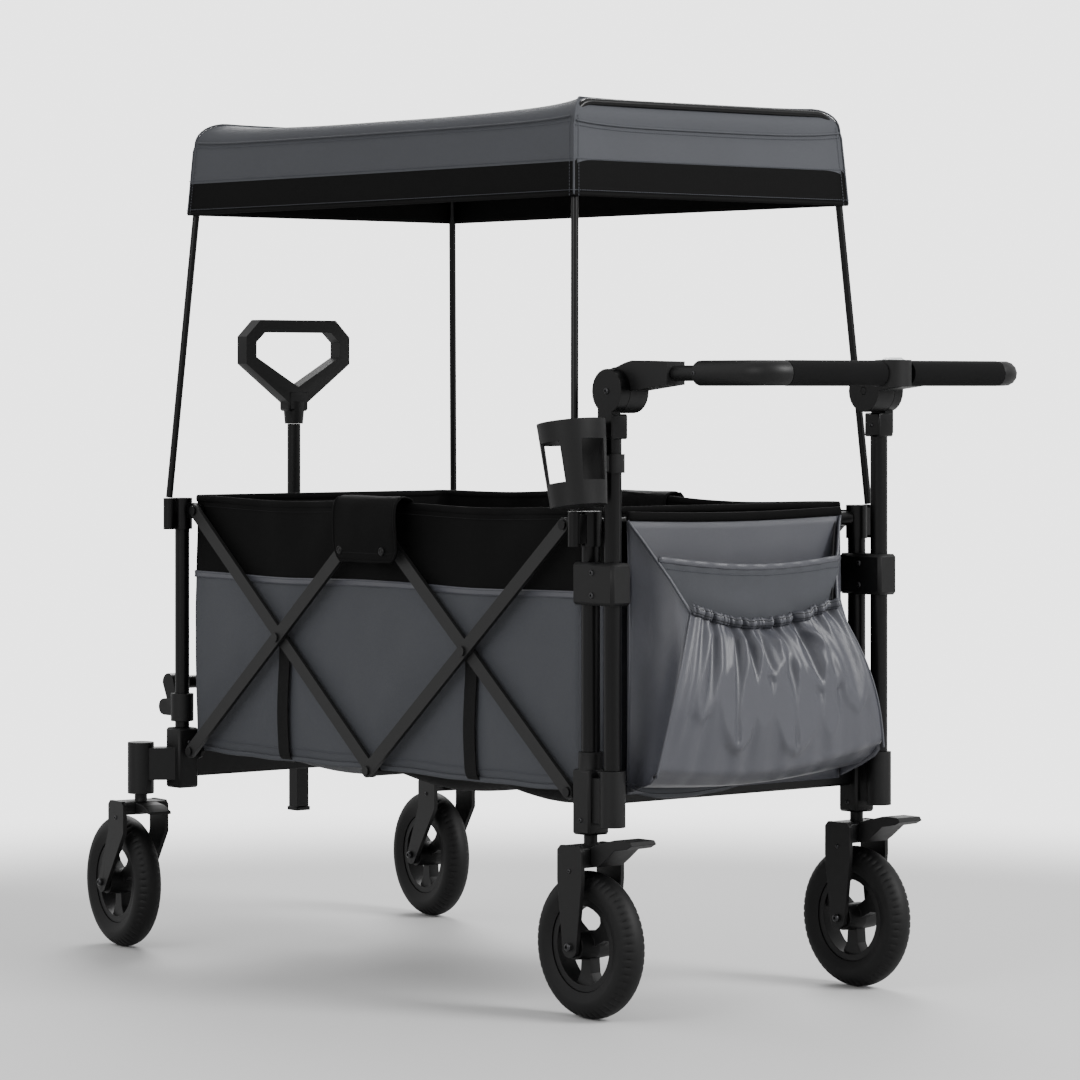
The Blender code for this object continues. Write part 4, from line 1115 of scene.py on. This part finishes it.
def rim_height(x, y_side):
    """The rim dips between its corner straps and rises a little over the far wall's slack."""
    share = abs(x) / HALF_X
    dip = 0.0045 * math.sin(math.pi * min(1.0, share)) ** 2
    slack = 0.0085 * math.exp(-((x - 0.12) / 0.17) ** 2) if y_side < 0 else 0.0
    return RIM_Z - 0.001 - dip + slack


def perimeter(side_steps=104, end_steps=48, corner_steps=5):
    """Places round the tub as (x, y, outward x, outward y), counted from its middle."""
    inside_x, inside_y = HALF_X - TUB_CORNER, HALF_Y - TUB_CORNER
    ring = []
    for turn, (sx, sy, nx, ny) in enumerate(((1, 1, 0, 1), (-1, 1, -1, 0), (-1, -1, 0, -1), (1, -1, 1, 0))):
        for step in range(corner_steps):
            angle = math.radians(90 * turn + 90 * step / corner_steps)
            out_x, out_y = math.cos(angle), math.sin(angle)
            ring.append((sx * inside_x + TUB_CORNER * out_x, sy * inside_y + TUB_CORNER * out_y, out_x, out_y))
        count = end_steps if nx else side_steps
        for step in range(count):
            slide = 1 - 2 * step / count
            x = nx * HALF_X if nx else sx * inside_x * slide
            y = sy * inside_y * slide if nx else ny * HALF_Y
            ring.append((x, y, nx, ny))
    return ring


def swell(x, y, nx, ny, z):
    """How far the cloth stands out of its flat place."""
    height = (z - TUB_FOOT_Z) / (RIM_Z - TUB_FOOT_Z)
    belly = math.sin(math.pi * max(0.0, min(1.0, height)))
    if abs(ny) > 0.9:
        free = step_up(bar_distance(x, z), 0.012, 0.060)
        crease = ripple(x * 9.0 + ny, z * 7.0, 3.0 + ny) * 0.6 + ripple(x * 22.0, z * 18.0, ny) * 0.4
        fold = 0.0020 * math.sin(x * 46.0 + 5.0 * ripple(x * 4.0, z * 4.0, 8.0)) * step_up(height, 0.72, 1.0)
        return free * (0.0055 * belly + 0.0034 * crease) + fold * 0.6
    if abs(nx) > 0.9:
        crease = ripple(y * 9.0, z * 8.0, nx * 2.0)
        return 0.004 * belly * (1 - (y / HALF_Y) ** 2) + 0.0022 * crease
    return 0.0


def tub_rows():
    ring = perimeter()
    heights = [0.0, 0.006, 0.014, 0.026, 0.04, 0.056, 0.074, 0.09, RIM_Z - BAND_FOOT_Z]
    below = RIM_Z - BAND_FOOT_Z
    rest = RIM_Z - TUB_FOOT_Z - below
    heights += [below + rest * step / 17 for step in range(1, 18)]
    rows = []
    for depth in heights:
        row = []
        for x, y, nx, ny in ring:
            top = rim_height(x, ny)
            share = depth / heights[-1]
            z = top + (TUB_FOOT_Z - top) * share
            if share > 0.95:
                z += 0.003 * ripple(x * 14.0, y * 14.0, 4.0)
            out = swell(x, y, nx, ny, z)
            row.append(at(x + nx * out, y + ny * out, z))
        rows.append(row)
    rows.append([at((point.x - MIDDLE_X) * 0.985, point.y * 0.975, point.z - 0.001) for point in rows[-1]])
    return rows


BAND_ROWS = 8                # rows of the tub that the black band covers
TUB_ROWS = tub_rows()
tub = panel("tub_shell", TUB_ROWS, [GREY_CLOTH, BLACK_CLOTH, BLACK_CLOTH],
            lambda row, column: int(row < BAND_ROWS), closed=True)
if outward_share(tub.data) < 0.5:
    tub.data.flip_normals()
soften(tub)
thicken(tub, 0.0016, -1.0, 1)
applied(tub)
for face in tub.data.polygons:
    face.material_index = min(face.material_index, 1)
attach(tub, "rear_upper", fold=TUB_FOLD, stands_for=["fabric_tub"])
cloth_sheet(tub)
print("tub shell:", len(tub.data.polygons), "faces")


# %% [markdown]
# ## Slack cloth under the floor
# On the real wagon the folding floor board lies on a slack cloth, and its cover hangs in soft lobes
# that are seen below the sides. A mat in four sections lies on top.


# %% Under the floor
def hung_sheet(name, start, length, half, depths, material, lobes=1, lift=0.0):
    """A slack cloth under the floor. It hangs in lobes and turns up to the tub along its edges.

    depths are how far the lobes hang behind and before the middle of the wagon.
    """
    rows = []
    for r in range(81):
        u = r / 80
        row = []
        for v in eased(40, 1.9):
            x = start + length * u
            hollow = depths[x >= 0] * abs(math.sin(math.pi * lobes * u)) ** 0.6 * (1 - abs(v) ** 9)
            crumple = 0.003 * ripple(x * 9.0, v * 3.0, 6.0) * (1 - v ** 4)
            row.append(at(x, v * half, TUB_FOOT_Z + lift - hollow + crumple))
        rows.append(row)
    sheet_piece(name, rows, material, 0.0014)


def tub_floor():
    """The floor cloth under the folding board; behind the middle it hangs slack between its seams."""
    hung_sheet("tub_floor_cloth", 0.004 - HALF_X, 2 * HALF_X - 0.008, HALF_Y - 0.005,
               (0.030, 0.008), BLACK_CLOTH, lobes=4, lift=0.0015)


def floor_flap():
    """The end of the folding floor board's cover, which hangs under the front half."""
    hung_sheet("floor_board_cover", 0.030, 0.190, HALF_Y - 0.007, (0.0, 0.019), GREY_CLOTH, lift=-0.002)


def floor_mat():
    """The mat on the folding board: four padded sections with a sewn crease between them."""
    rows = []
    sections, half = 4, HALF_Y - 0.012
    length = 2 * HALF_X - 0.030
    for r in range(161):
        u = r / 160
        crease = abs(math.sin(math.pi * sections * u)) ** 0.35
        row = []
        for v in eased(40, 1.9):
            puff = 0.0050 * crease * (1 - abs(v) ** 12) + 0.0008 * ripple(u * 9.0, v * 5.0, 13.0)
            row.append(at(length * (u - 0.5), v * half, TUB_LOW.z + 0.0055 + puff))
        rows.append(row)
    sheet_piece("floor_mat", rows, MAT_CLOTH, 0.0030)


def rear_tail():
    """The tub's rear hem, which droops over the bottom rail."""
    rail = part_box("rear_bottom_rail")[0].x - 0.003
    top_z, left_y, width = 0.302, 0.186, 0.250
    rows = []
    for r in range(13):
        t = r / 12
        row = []
        for c in range(61):
            y = left_y - width * c / 60
            droop = 0.026 * math.sin(math.pi * (c / 60) ** 0.7) ** 0.6 + 0.0015 * ripple(y * 30.0, t * 2.0, 3.0)
            out = 0.005 * math.sin(math.pi * t * 0.8) - 0.006 * t ** 4
            row.append(Vector((rail - out, y, top_z - droop * t)))
        rows.append(row)
    sheet_piece("rear_tail", rows, GREY_CLOTH, 0.0014, fold=None)
    seam = [point + Vector((-0.0012, 0.0, 0.0)) for point in rows[9]]
    sewn(stitches("rear_tail_stitches", [seam], BLACK_THREAD), fold=None)


tub_floor()
floor_flap()
floor_mat()
rear_tail()
print("slack cloth, mat and rear hem made")


# %% [markdown]
# ## Edges of the tub
# A folded binding closes the rim. A narrow ribbon covers the seam under the black band, and a cord
# closes the foot of the side.


# %% Tub edges
FOOT_SEAM_ROW, FOOT_ROW = 24, 25


def tub_line(row, out, lift=0.0):
    """The closed path of one row of the tub, moved outwards and up."""
    path = [point + Vector((nx * out, ny * out, lift))
            for point, (_, _, nx, ny) in zip(TUB_ROWS[row], perimeter())]
    return path + path[:1]


def tub_cord(name, path, radius, material, sides, flat):
    sewn(cord_piece(name, path[:-1], radius, material, sides, closed=True, flat=flat))


tub_cord("rim_binding", tub_line(0, -0.0004, 0.0004), 0.0052, BLACK_CLOTH, 12, 0.40)
tub_cord("foot_binding", tub_line(FOOT_ROW, 0.0006), 0.0034, GREY_CLOTH, 8, 0.45)
ribbon_rows = [tub_line(BAND_ROWS, 0.0011, lift) for lift in (0.001, -0.002, -0.006, -0.0085)]
sheet_piece("band_ribbon", ribbon_rows, SATIN_CLOTH, 0.0007)
sewn(stitches("tub_black_stitches", [tub_line(1, 0.0013, -0.004)], BLACK_THREAD))
ribbon_seams = [tub_line(BAND_ROWS, 0.0017, lift) for lift in (-0.0012, -0.0078)]
sewn(stitches("tub_grey_stitches", ribbon_seams, GREY_THREAD))
sewn(stitches("tub_foot_stitches", [tub_line(FOOT_SEAM_ROW, 0.0016)], GREY_THREAD))
print("tub edges sewn")


# %% [markdown]
# ## Straps and flaps
# A webbing strap hangs from each crossing to the foot of the side, and a padded flap with two snaps
# wraps over the rim to cover the upper middle pivot.


# %% Straps and flaps
STRAP_WIDTH = 0.024


def side_name(side):
    return "left" if side > 0 else "right"


def side_straps(side):
    y = side * 0.2366
    for number, x in enumerate((-PIVOT_X / 2, PIVOT_X / 2)):
        points = [(x + 0.001, y, 0.462), (x - 0.0006, y + side * 0.0003, 0.435),
                  (x + 0.001, y + side * 0.0010, 0.40), (x + 0.003, y + side * 0.0012, 0.36),
                  (x + 0.0015, y + side * 0.0009, 0.32),
                  (x - 0.002, y + side * 0.0006, 0.296), (x - 0.003, y - side * 0.010, 0.286)]
        path = curve_through([at(*point) for point in points], 10)
        across = Vector((STRAP_WIDTH / 2, 0.0, 0.0))
        rows = [[point + across * share for share in (-1, -0.9, -0.3, 0.3, 0.9, 1)] for point in path]
        sheet_piece(f"side_strap_{number}_{side_name(side)}", rows, WEBBING, 0.0014)


FLAP_CENTRE, FLAP_HALF = -0.008, 0.067
print("straps are", STRAP_WIDTH, "m wide")


# %% [markdown]
# ## The flaps over the rim
# Each flap is a set of sections, one for each place along the wagon. Its lower corners are rounded by
# lifting the ends of the outer sections.


# %% Pivot flaps
def flap_path(side, x):
    """The flap's section at one place along the wagon: up the inside, over the rim, down outside."""
    pull = 1.0 - 0.25 * abs((x - FLAP_CENTRE) / FLAP_HALF) ** 3
    points = [(0.2255, 0.590), (0.2262, 0.630), (0.2290, 0.6555), (0.2400, 0.6615), (0.2530, 0.6605),
              (0.2600 + 0.001 * pull, 0.6500), (0.2606 + 0.003 * pull, 0.625), (0.2598 + 0.002 * pull, 0.598),
              (0.2590, 0.575)]
    return curve_through([at(x, side * y, z) for y, z in points], 5)


def flap_columns(side, count=26):
    """The flap's sections from rear to front, with its lower corners rounded and its cloth rippled."""
    columns = []
    for column in range(count + 1):
        share = 2 * column / count - 1
        x = FLAP_CENTRE + FLAP_HALF * share
        corner = 0.014 * max(0.0, (abs(share) - 0.80) / 0.20) ** 2
        path = flap_path(side, x)
        for index, point in enumerate(path):
            t = index / (len(path) - 1)
            point.z += corner * max(0.0, t - 0.55) / 0.45
            point.z += 0.0008 * ripple(x * 30.0, t * 6.0, 2.0)
            point.y += side * 0.0010 * ripple(x * 26.0, t * 5.0, 9.0)
        columns.append(path)
    return columns


def flap(side):
    name = side_name(side)
    columns = flap_columns(side)
    piece = panel(f"pivot_flap_{name}", [list(row) for row in zip(*columns)], [BLACK_CLOTH])
    thicken(piece, 0.0032, 0.0)
    soften(piece)
    applied(piece)
    sewn(piece)
    cloth_sheet(piece)
    half = len(columns[0]) // 2
    outline = columns[0][half:] + [column[-1] for column in columns[1:-1]] + columns[-1][:half - 1:-1]
    edge = [point + Vector((0.0, side * 0.0004, 0.0)) for point in outline]
    sewn(cord_piece(f"flap_piping_{name}", edge, 0.0022, BLACK_CLOTH, 8))
    seam = [column[-3] + Vector((0.0, side * 0.0018, 0.002)) for column in columns[2:-2]]
    sewn(stitches(f"flap_stitches_{name}", [seam], BLACK_THREAD))
    for number, x in enumerate((-0.046, 0.047)):
        spot = at(x, side * 0.2622, 0.589)
        sewn(snap(f"flap_snap_{number}_{name}", spot, Vector((0, side, 0))))


def snap(name, place, direction, sides=28):
    """A press stud: a low button with a dished middle, turned to face along the direction."""
    profile = [(0.00001, -0.0008), (0.0058, -0.0008), (0.0060, 0.0004), (0.0054, 0.0014), (0.0042, 0.0017),
               (0.0036, 0.0011), (0.0026, 0.0009), (0.0020, 0.0014), (0.00001, 0.0015)]
    turn = Vector((0, 0, 1)).rotation_difference(direction).to_matrix()
    angles = [2 * math.pi * step / sides for step in range(sides)]
    rows = [[place + turn @ Vector((radius * math.cos(angle), radius * math.sin(angle), height))
             for angle in angles] for radius, height in profile]
    piece = panel(name, rows, [FRAME_STEEL], closed=True)
    repair_normals(piece.data)
    piece.data.set_sharp_from_angle(angle=math.radians(50))
    return piece


for side in (-1, 1):
    side_straps(side)
    flap(side)
print("straps: 4, flaps: 2")

# %% [markdown]
# ## The rear pocket
# A satin back panel hangs behind the rear posts. A flat upper pocket is sewn to it, and a deep lower
# pocket stands out in front with an elastic top. The elastic gathers the cloth into short puckers
# that open into long folds, and the fullest folds end in soft loops.

# %% Pocket
POCKET_LOW, POCKET_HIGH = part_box("rear_pocket")
POCKET_BACK = POCKET_HIGH.x - MIDDLE_X - 0.001
POCKET_FAR = POCKET_LOW.x - MIDDLE_X + 0.002
POCKET_HALF = (POCKET_HIGH.y - POCKET_LOW.y) / 2


def pocket_back():
    rows = []
    top, foot = RIM_Z - 0.008, 0.286
    for r in range(25):
        t = r / 24
        row = []
        for c in range(49):
            s = 2 * c / 48 - 1
            z = top + (foot - top) * t - 0.004 * math.sin(math.pi * (s + 1) / 2) * (1 - t)
            x = POCKET_BACK - 0.0015 + 0.0016 * ripple(s * 2.3, t * 2.0, 5.0) - 0.003 * math.sin(math.pi * t)
            row.append(at(x, -s * POCKET_HALF, z))
        rows.append(row)
    sheet_piece("pocket_back_panel", rows, SATIN_CLOTH, 0.0012, None)
    binding = [point + Vector((-0.001, 0.0, 0.001)) for point in rows[0]]
    sewn(cord_piece("pocket_top_binding", binding, 0.0062, BLACK_CLOTH, 10, flat=0.42), fold=None)


print("pocket half width:", round(POCKET_HALF, 3))


# %% [markdown]
# ## The relief of the gathered cloth
# Three waves make the puckers under the elastic and die away downwards. Loops and single creases are
# ridges that follow chosen lines, and each ends where the real cloth lets go of its fold.


# %% Gathered folds
RUFFLE_LEFT, RUFFLE_RIGHT = Vector((-0.538, 0.143, 0.520)), Vector((-0.516, -0.138, 0.520))
FOOT_LEFT, FOOT_RIGHT = Vector((-0.527, 0.189, 0.311)), Vector((-0.548, -0.189, 0.332))
LOOPS = [  # middle of the fold at the elastic and at its end, how far down it ends, half width, height
    (0.30, 0.31, 0.80, 0.060, 1.0), (0.545, 0.59, 0.86, 0.062, 1.0), (0.49, 0.487, 0.34, 0.070, 0.9),
    (0.70, 0.77, 0.50, 0.085, 0.9), (0.16, 0.13, 0.62, 0.050, 0.7), (0.90, 0.90, 0.66, 0.055, 0.7)]
CREASES = [(0.795, 0.73, 0.95, 0.8), (0.06, 0.05, 0.9, 0.7), (0.40, 0.43, 0.7, 0.6), (0.97, 0.94, 0.8, 0.6)]


def fold_height(f, w):
    """The gathered cloth's relief. f runs across the pocket and w down it, both 0 to 1."""
    pleat = 0.0
    for count, phase, share in ((9.0, 0.4, 0.5), (14.0, 2.1, 0.3), (23.0, 4.0, 0.2)):
        wander = 0.5 * ripple(f * 3.0, w * 1.5, count)
        pleat += share * math.cos(2 * math.pi * count * f + phase + wander * 2.0) * math.exp(-w * count / 6.5)
    height = 0.0085 * pleat
    for top, end, reach, half, strength in LOOPS:
        if w > reach * 1.12:
            continue
        share = min(1.0, w / reach)
        middle = top + (end - top) * share
        opening = 0.35 + 0.65 * math.sin(math.pi * 0.5 * min(1.0, share * 1.6))
        width = half * opening * math.sqrt(max(0.0, 1 - share ** 4))
        if share < 1.0:
            away = (abs(f - middle) - width) / 0.028
            ridge = math.exp(-away * away)
        else:
            ridge = math.exp(-((f - middle) / 0.024) ** 2 - ((w - reach) / 0.035) ** 2)
        height += 0.0105 * strength * ridge * step_up(w, 0.0, 0.10) * (1 - 0.35 * share)
    for top, end, reach, strength in CREASES:
        middle = top + (end - top) * min(1.0, w / reach)
        height += 0.0105 * strength * math.exp(-((f - middle) / 0.028) ** 2) * step_up(reach - w, 0.0, 0.35)
    return height


def pocket_edge(side, w):
    """The corner between the gusset and the front, from the elastic down to the foot."""
    top, foot = (RUFFLE_LEFT, FOOT_LEFT) if side > 0 else (RUFFLE_RIGHT, FOOT_RIGHT)
    place = top.lerp(foot, w)
    place.x -= 0.012 * math.sin(math.pi * w)
    place.y += side * 0.010 * math.sin(math.pi * w * 0.9)
    return place


def front_point(f, w):
    left, right = pocket_edge(1, w), pocket_edge(-1, w)
    place = left.lerp(right, f)
    arch = math.sin(math.pi * f)
    place.z -= arch * (0.024 * (1 - w) ** 1.5 + 0.020 * w ** 2)
    place.x += arch * 0.010 * (1 - w) - arch * 0.012 * math.sin(math.pi * min(1.0, w * 1.1)) - 0.004 * w * arch
    place.x -= fold_height(f, w) * (0.35 + 0.65 * min(1.0, 4 * f * (1 - f) + 0.4))
    if w > 0.93:
        place.x += 0.012 * ((w - 0.93) / 0.07) ** 2
    place.x = max(place.x, POCKET_FAR)
    return place


def gusset_point(side, g, w):
    """g runs from the back panel to the front corner."""
    hind = Vector((POCKET_BACK - 0.002, side * POCKET_HALF, RIM_Z - 0.014 + (0.296 - RIM_Z + 0.014) * w))
    place = hind.lerp(pocket_edge(side, w), g)
    hollow = math.sin(math.pi * g) * math.sin(math.pi * min(1.0, w + 0.08))
    place.y -= side * 0.011 * hollow
    place.y += side * 0.003 * ripple(g * 2.4, w * 3.2, 7.0 + side) * math.sin(math.pi * g)
    return place


print("folds at the elastic:", [round(fold_height(f / 4, 0.1), 4) for f in range(5)])


# %% [markdown]
# ## The lower pocket
# One sheet runs over the left side wall, the front and the right side wall, and turns in under the foot.


# %% Lower pocket
def lower_pocket():
    rows = []
    gusset, front = 14, 168
    for r in range(61):
        w = (r / 60) ** 1.25
        row = [at(*gusset_point(1, c / gusset, w)) for c in range(gusset)]
        row += [at(*front_point(c / front, w)) for c in range(front + 1)]
        row += [at(*gusset_point(-1, 1 - c / gusset, w)) for c in range(1, gusset + 1)]
        rows.append(row)
    foot = rows[-1]
    for share, drop in ((0.12, 0.005), (0.45, 0.007), (1.0, -0.004)):
        row = []
        for point in foot:
            back = Vector((MIDDLE_X + POCKET_BACK - 0.003, point.y, 0.296))
            inner = point.lerp(back, share)
            inner.z -= drop
            row.append(inner)
        rows.append(row)
    piece = panel("lower_pocket", rows, [SATIN_CLOTH])
    if sum(face.normal.x for face in piece.data.polygons) > 0:
        piece.data.flip_normals()
    thicken(piece, 0.0010, -1.0)
    applied(piece)
    attach(piece, "rear_upper", stands_for=["rear_pocket"])
    cloth_sheet(piece)


print("lower pocket has", len(LOOPS), "looped folds")


# %% [markdown]
# ## The elastic and the upper pocket
# The casing is a narrow sheet that bulges between its two seams and puckers where the elastic pulls.


# %% Elastic and upper pocket
def elastic_edge():
    """The gathered casing above the folds, with its two seams."""
    rows = []
    count = 260
    for r in range(9):
        t = r / 8
        row = []
        for c in range(count + 1):
            f = c / count
            place = front_point(f, 0.0)
            pucker = math.sin(2 * math.pi * 34 * f + 3.0 * ripple(f * 7.0, 1.0, 2.0))
            pucker += 0.5 * math.sin(2 * math.pi * 57 * f + 1.0)
            pinch = math.sin(math.pi * t)
            place.z += 0.013 * (1 - t) + 0.0010 * pucker * (1 - t)
            place.x -= 0.0012 + 0.0030 * pinch + 0.0012 * pucker * (0.5 + pinch)
            row.append(at(*place))
        rows.append(row)
    sheet_piece("pocket_elastic", rows, SATIN_CLOTH, 0.0009, None)
    for number, row in enumerate((2, 6)):
        seam = [point + Vector((-0.0004, 0.0, 0.0)) for point in rows[row]]
        sewn(cord_piece(f"elastic_seam_{number}", seam, 0.0005, BLACK_THREAD, 6), fold=None)


def upper_pocket():
    """A flat pocket whose foot is hidden by the lower one."""
    rows = []
    for r in range(25):
        t = r / 24
        row = []
        for c in range(61):
            f = c / 60
            half_left, half_right = 0.166 - 0.020 * t, -0.158 + 0.020 * t
            y = half_left + (half_right - half_left) * f
            arch = math.sin(math.pi * f)
            z = 0.589 - 0.006 * f - 0.011 * arch * (1 - t) - 0.125 * t
            x = -0.501 - 0.010 * arch * (1 - 0.6 * t) - 0.004 * t
            x -= 0.0018 * ripple(f * 6.0, t * 4.0, 1.0) * arch
            x -= 0.0012 * math.sin(f * 60.0) * math.exp(-t * 9.0)
            row.append(at(x, y, z))
        rows.append(row)
    sheet_piece("upper_pocket", rows, GREY_CLOTH, 0.0010, None)
    binding = [point + Vector((-0.0006, 0, 0.001)) for point in rows[0]]
    sewn(cord_piece("upper_pocket_binding", binding, 0.0042, SATIN_CLOTH, 10, flat=0.42), fold=None)
    seam = [point + Vector((-0.0014, 0, 0)) for point in rows[2]]
    sewn(stitches("upper_pocket_stitches", [seam], GREY_THREAD), fold=None)


def pocket_piping():
    for side in (-1, 1):
        name = side_name(side)
        edge = [at(*gusset_point(side, g / 24, 0.0)) + Vector((-0.0008, 0.0, 0.0012)) for g in range(25)]
        sewn(cord_piece(f"gusset_piping_{name}", edge, 0.0021, SATIN_CLOTH, 8), fold=None)
        inner = [point + Vector((0.0035, side * -0.0055, -0.002)) for point in edge]
        sewn(cord_piece(f"gusset_inner_piping_{name}", inner, 0.0012, BLACK_THREAD, 8), fold=None)
        corner = [at(*pocket_edge(side, w / 30)) + Vector((-0.0008, side * 0.0010, 0.0)) for w in range(31)]
        sewn(cord_piece(f"pocket_corner_piping_{name}", corner, 0.0014, SATIN_CLOTH, 8), fold=None)


pocket_back()
lower_pocket()
elastic_edge()
upper_pocket()
pocket_piping()
print("pocket sewn")

# %% [markdown]
# ## The floor, the light and the sky
# The floor is plain and pale, and it melts into the bright backdrop a little way off, as paper swept
# up a studio wall does. Three large soft lights stand round the wagon: the strongest is behind it on
# the right, a weak one fills the left side, and the third draws an edge on the front.

# %% Stage
BACKDROP = 3.2               # brightness of the backdrop where it is seen
floor_mesh = bpy.data.meshes.new("studio_floor")
floor_mesh.from_pydata([(-30, -30, 0), (30, -30, 0), (30, 30, 0), (-30, 30, 0)], [], [(0, 1, 2, 3)])
floor = new_piece("studio_floor", floor_mesh, [])
floor_material = bpy.data.materials.new("pale_floor")
floor_material.use_nodes = True
ground = floor_material.node_tree
shader_of(floor_material).inputs["Base Color"].default_value = (0.50, 0.50, 0.50, 1.0)
shader_of(floor_material).inputs["Roughness"].default_value = 0.65
glow = ground.nodes.new("ShaderNodeEmission")
glow.inputs["Color"].default_value = (0.95, 0.95, 0.95, 1.0)
glow.inputs["Strength"].default_value = BACKDROP
reach = ground.nodes.new("ShaderNodeVectorMath")
reach.operation = "LENGTH"
ground.links.new(ground.nodes.new("ShaderNodeTexCoord").outputs["Object"], reach.inputs[0])
fade = ground.nodes.new("ShaderNodeMapRange")
fade.interpolation_type = "SMOOTHSTEP"
fade.inputs["From Min"].default_value = 1.3
fade.inputs["From Max"].default_value = 2.4
ground.links.new(reach.outputs["Value"], fade.inputs["Value"])
seen = ground.nodes.new("ShaderNodeLightPath").outputs["Is Camera Ray"]
blend = ground.nodes.new("ShaderNodeMixShader")
ground.links.new(math_node(ground, "MULTIPLY", fade.outputs["Result"], seen), blend.inputs["Fac"])
ground.links.new(shader_of(floor_material).outputs["BSDF"], blend.inputs[1])
ground.links.new(glow.outputs["Emission"], blend.inputs[2])
ground.links.new(blend.outputs["Shader"], ground.nodes["Material Output"].inputs["Surface"])
floor_mesh.materials.append(floor_material)
print("floor ready")


# %% [markdown]
# ## The lights
# Large discs give soft edges to the shadows. Each is aimed at the middle of the wagon.


# %% Lights
def area_light(name, place, target, size, power, colour=(1.0, 1.0, 1.0)):
    data = bpy.data.lights.new(name, "AREA")
    data.shape = "DISK"
    data.size = size
    data.energy = power
    data.color = colour
    light = bpy.data.objects.new(name, data)
    light.location = place
    light.rotation_euler = (Vector(target) - Vector(place)).to_track_quat("-Z", "Y").to_euler()
    bpy.context.scene.collection.objects.link(light)
    return light


target = at(0, 0, 0.5)
area_light("key_light", at(-4.2, -1.4, 3.4), target, 2.2, 330)
area_light("fill_light", at(-1.0, 4.6, 2.6), target, 2.8, 90)
area_light("rim_light", at(3.0, -2.4, 3.2), target, 2.2, 120)
world = bpy.data.worlds.new("studio")
bpy.context.scene.world = world
world.use_nodes = True
sky = world.node_tree
sky.nodes["Background"].inputs["Color"].default_value = (0.95, 0.95, 0.95, 1.0)
seen = sky.nodes.new("ShaderNodeLightPath")
strength = span_node(sky, seen.outputs["Is Camera Ray"], 1.15, BACKDROP)
sky.links.new(strength, sky.nodes["Background"].inputs["Strength"])
print("stage ready")
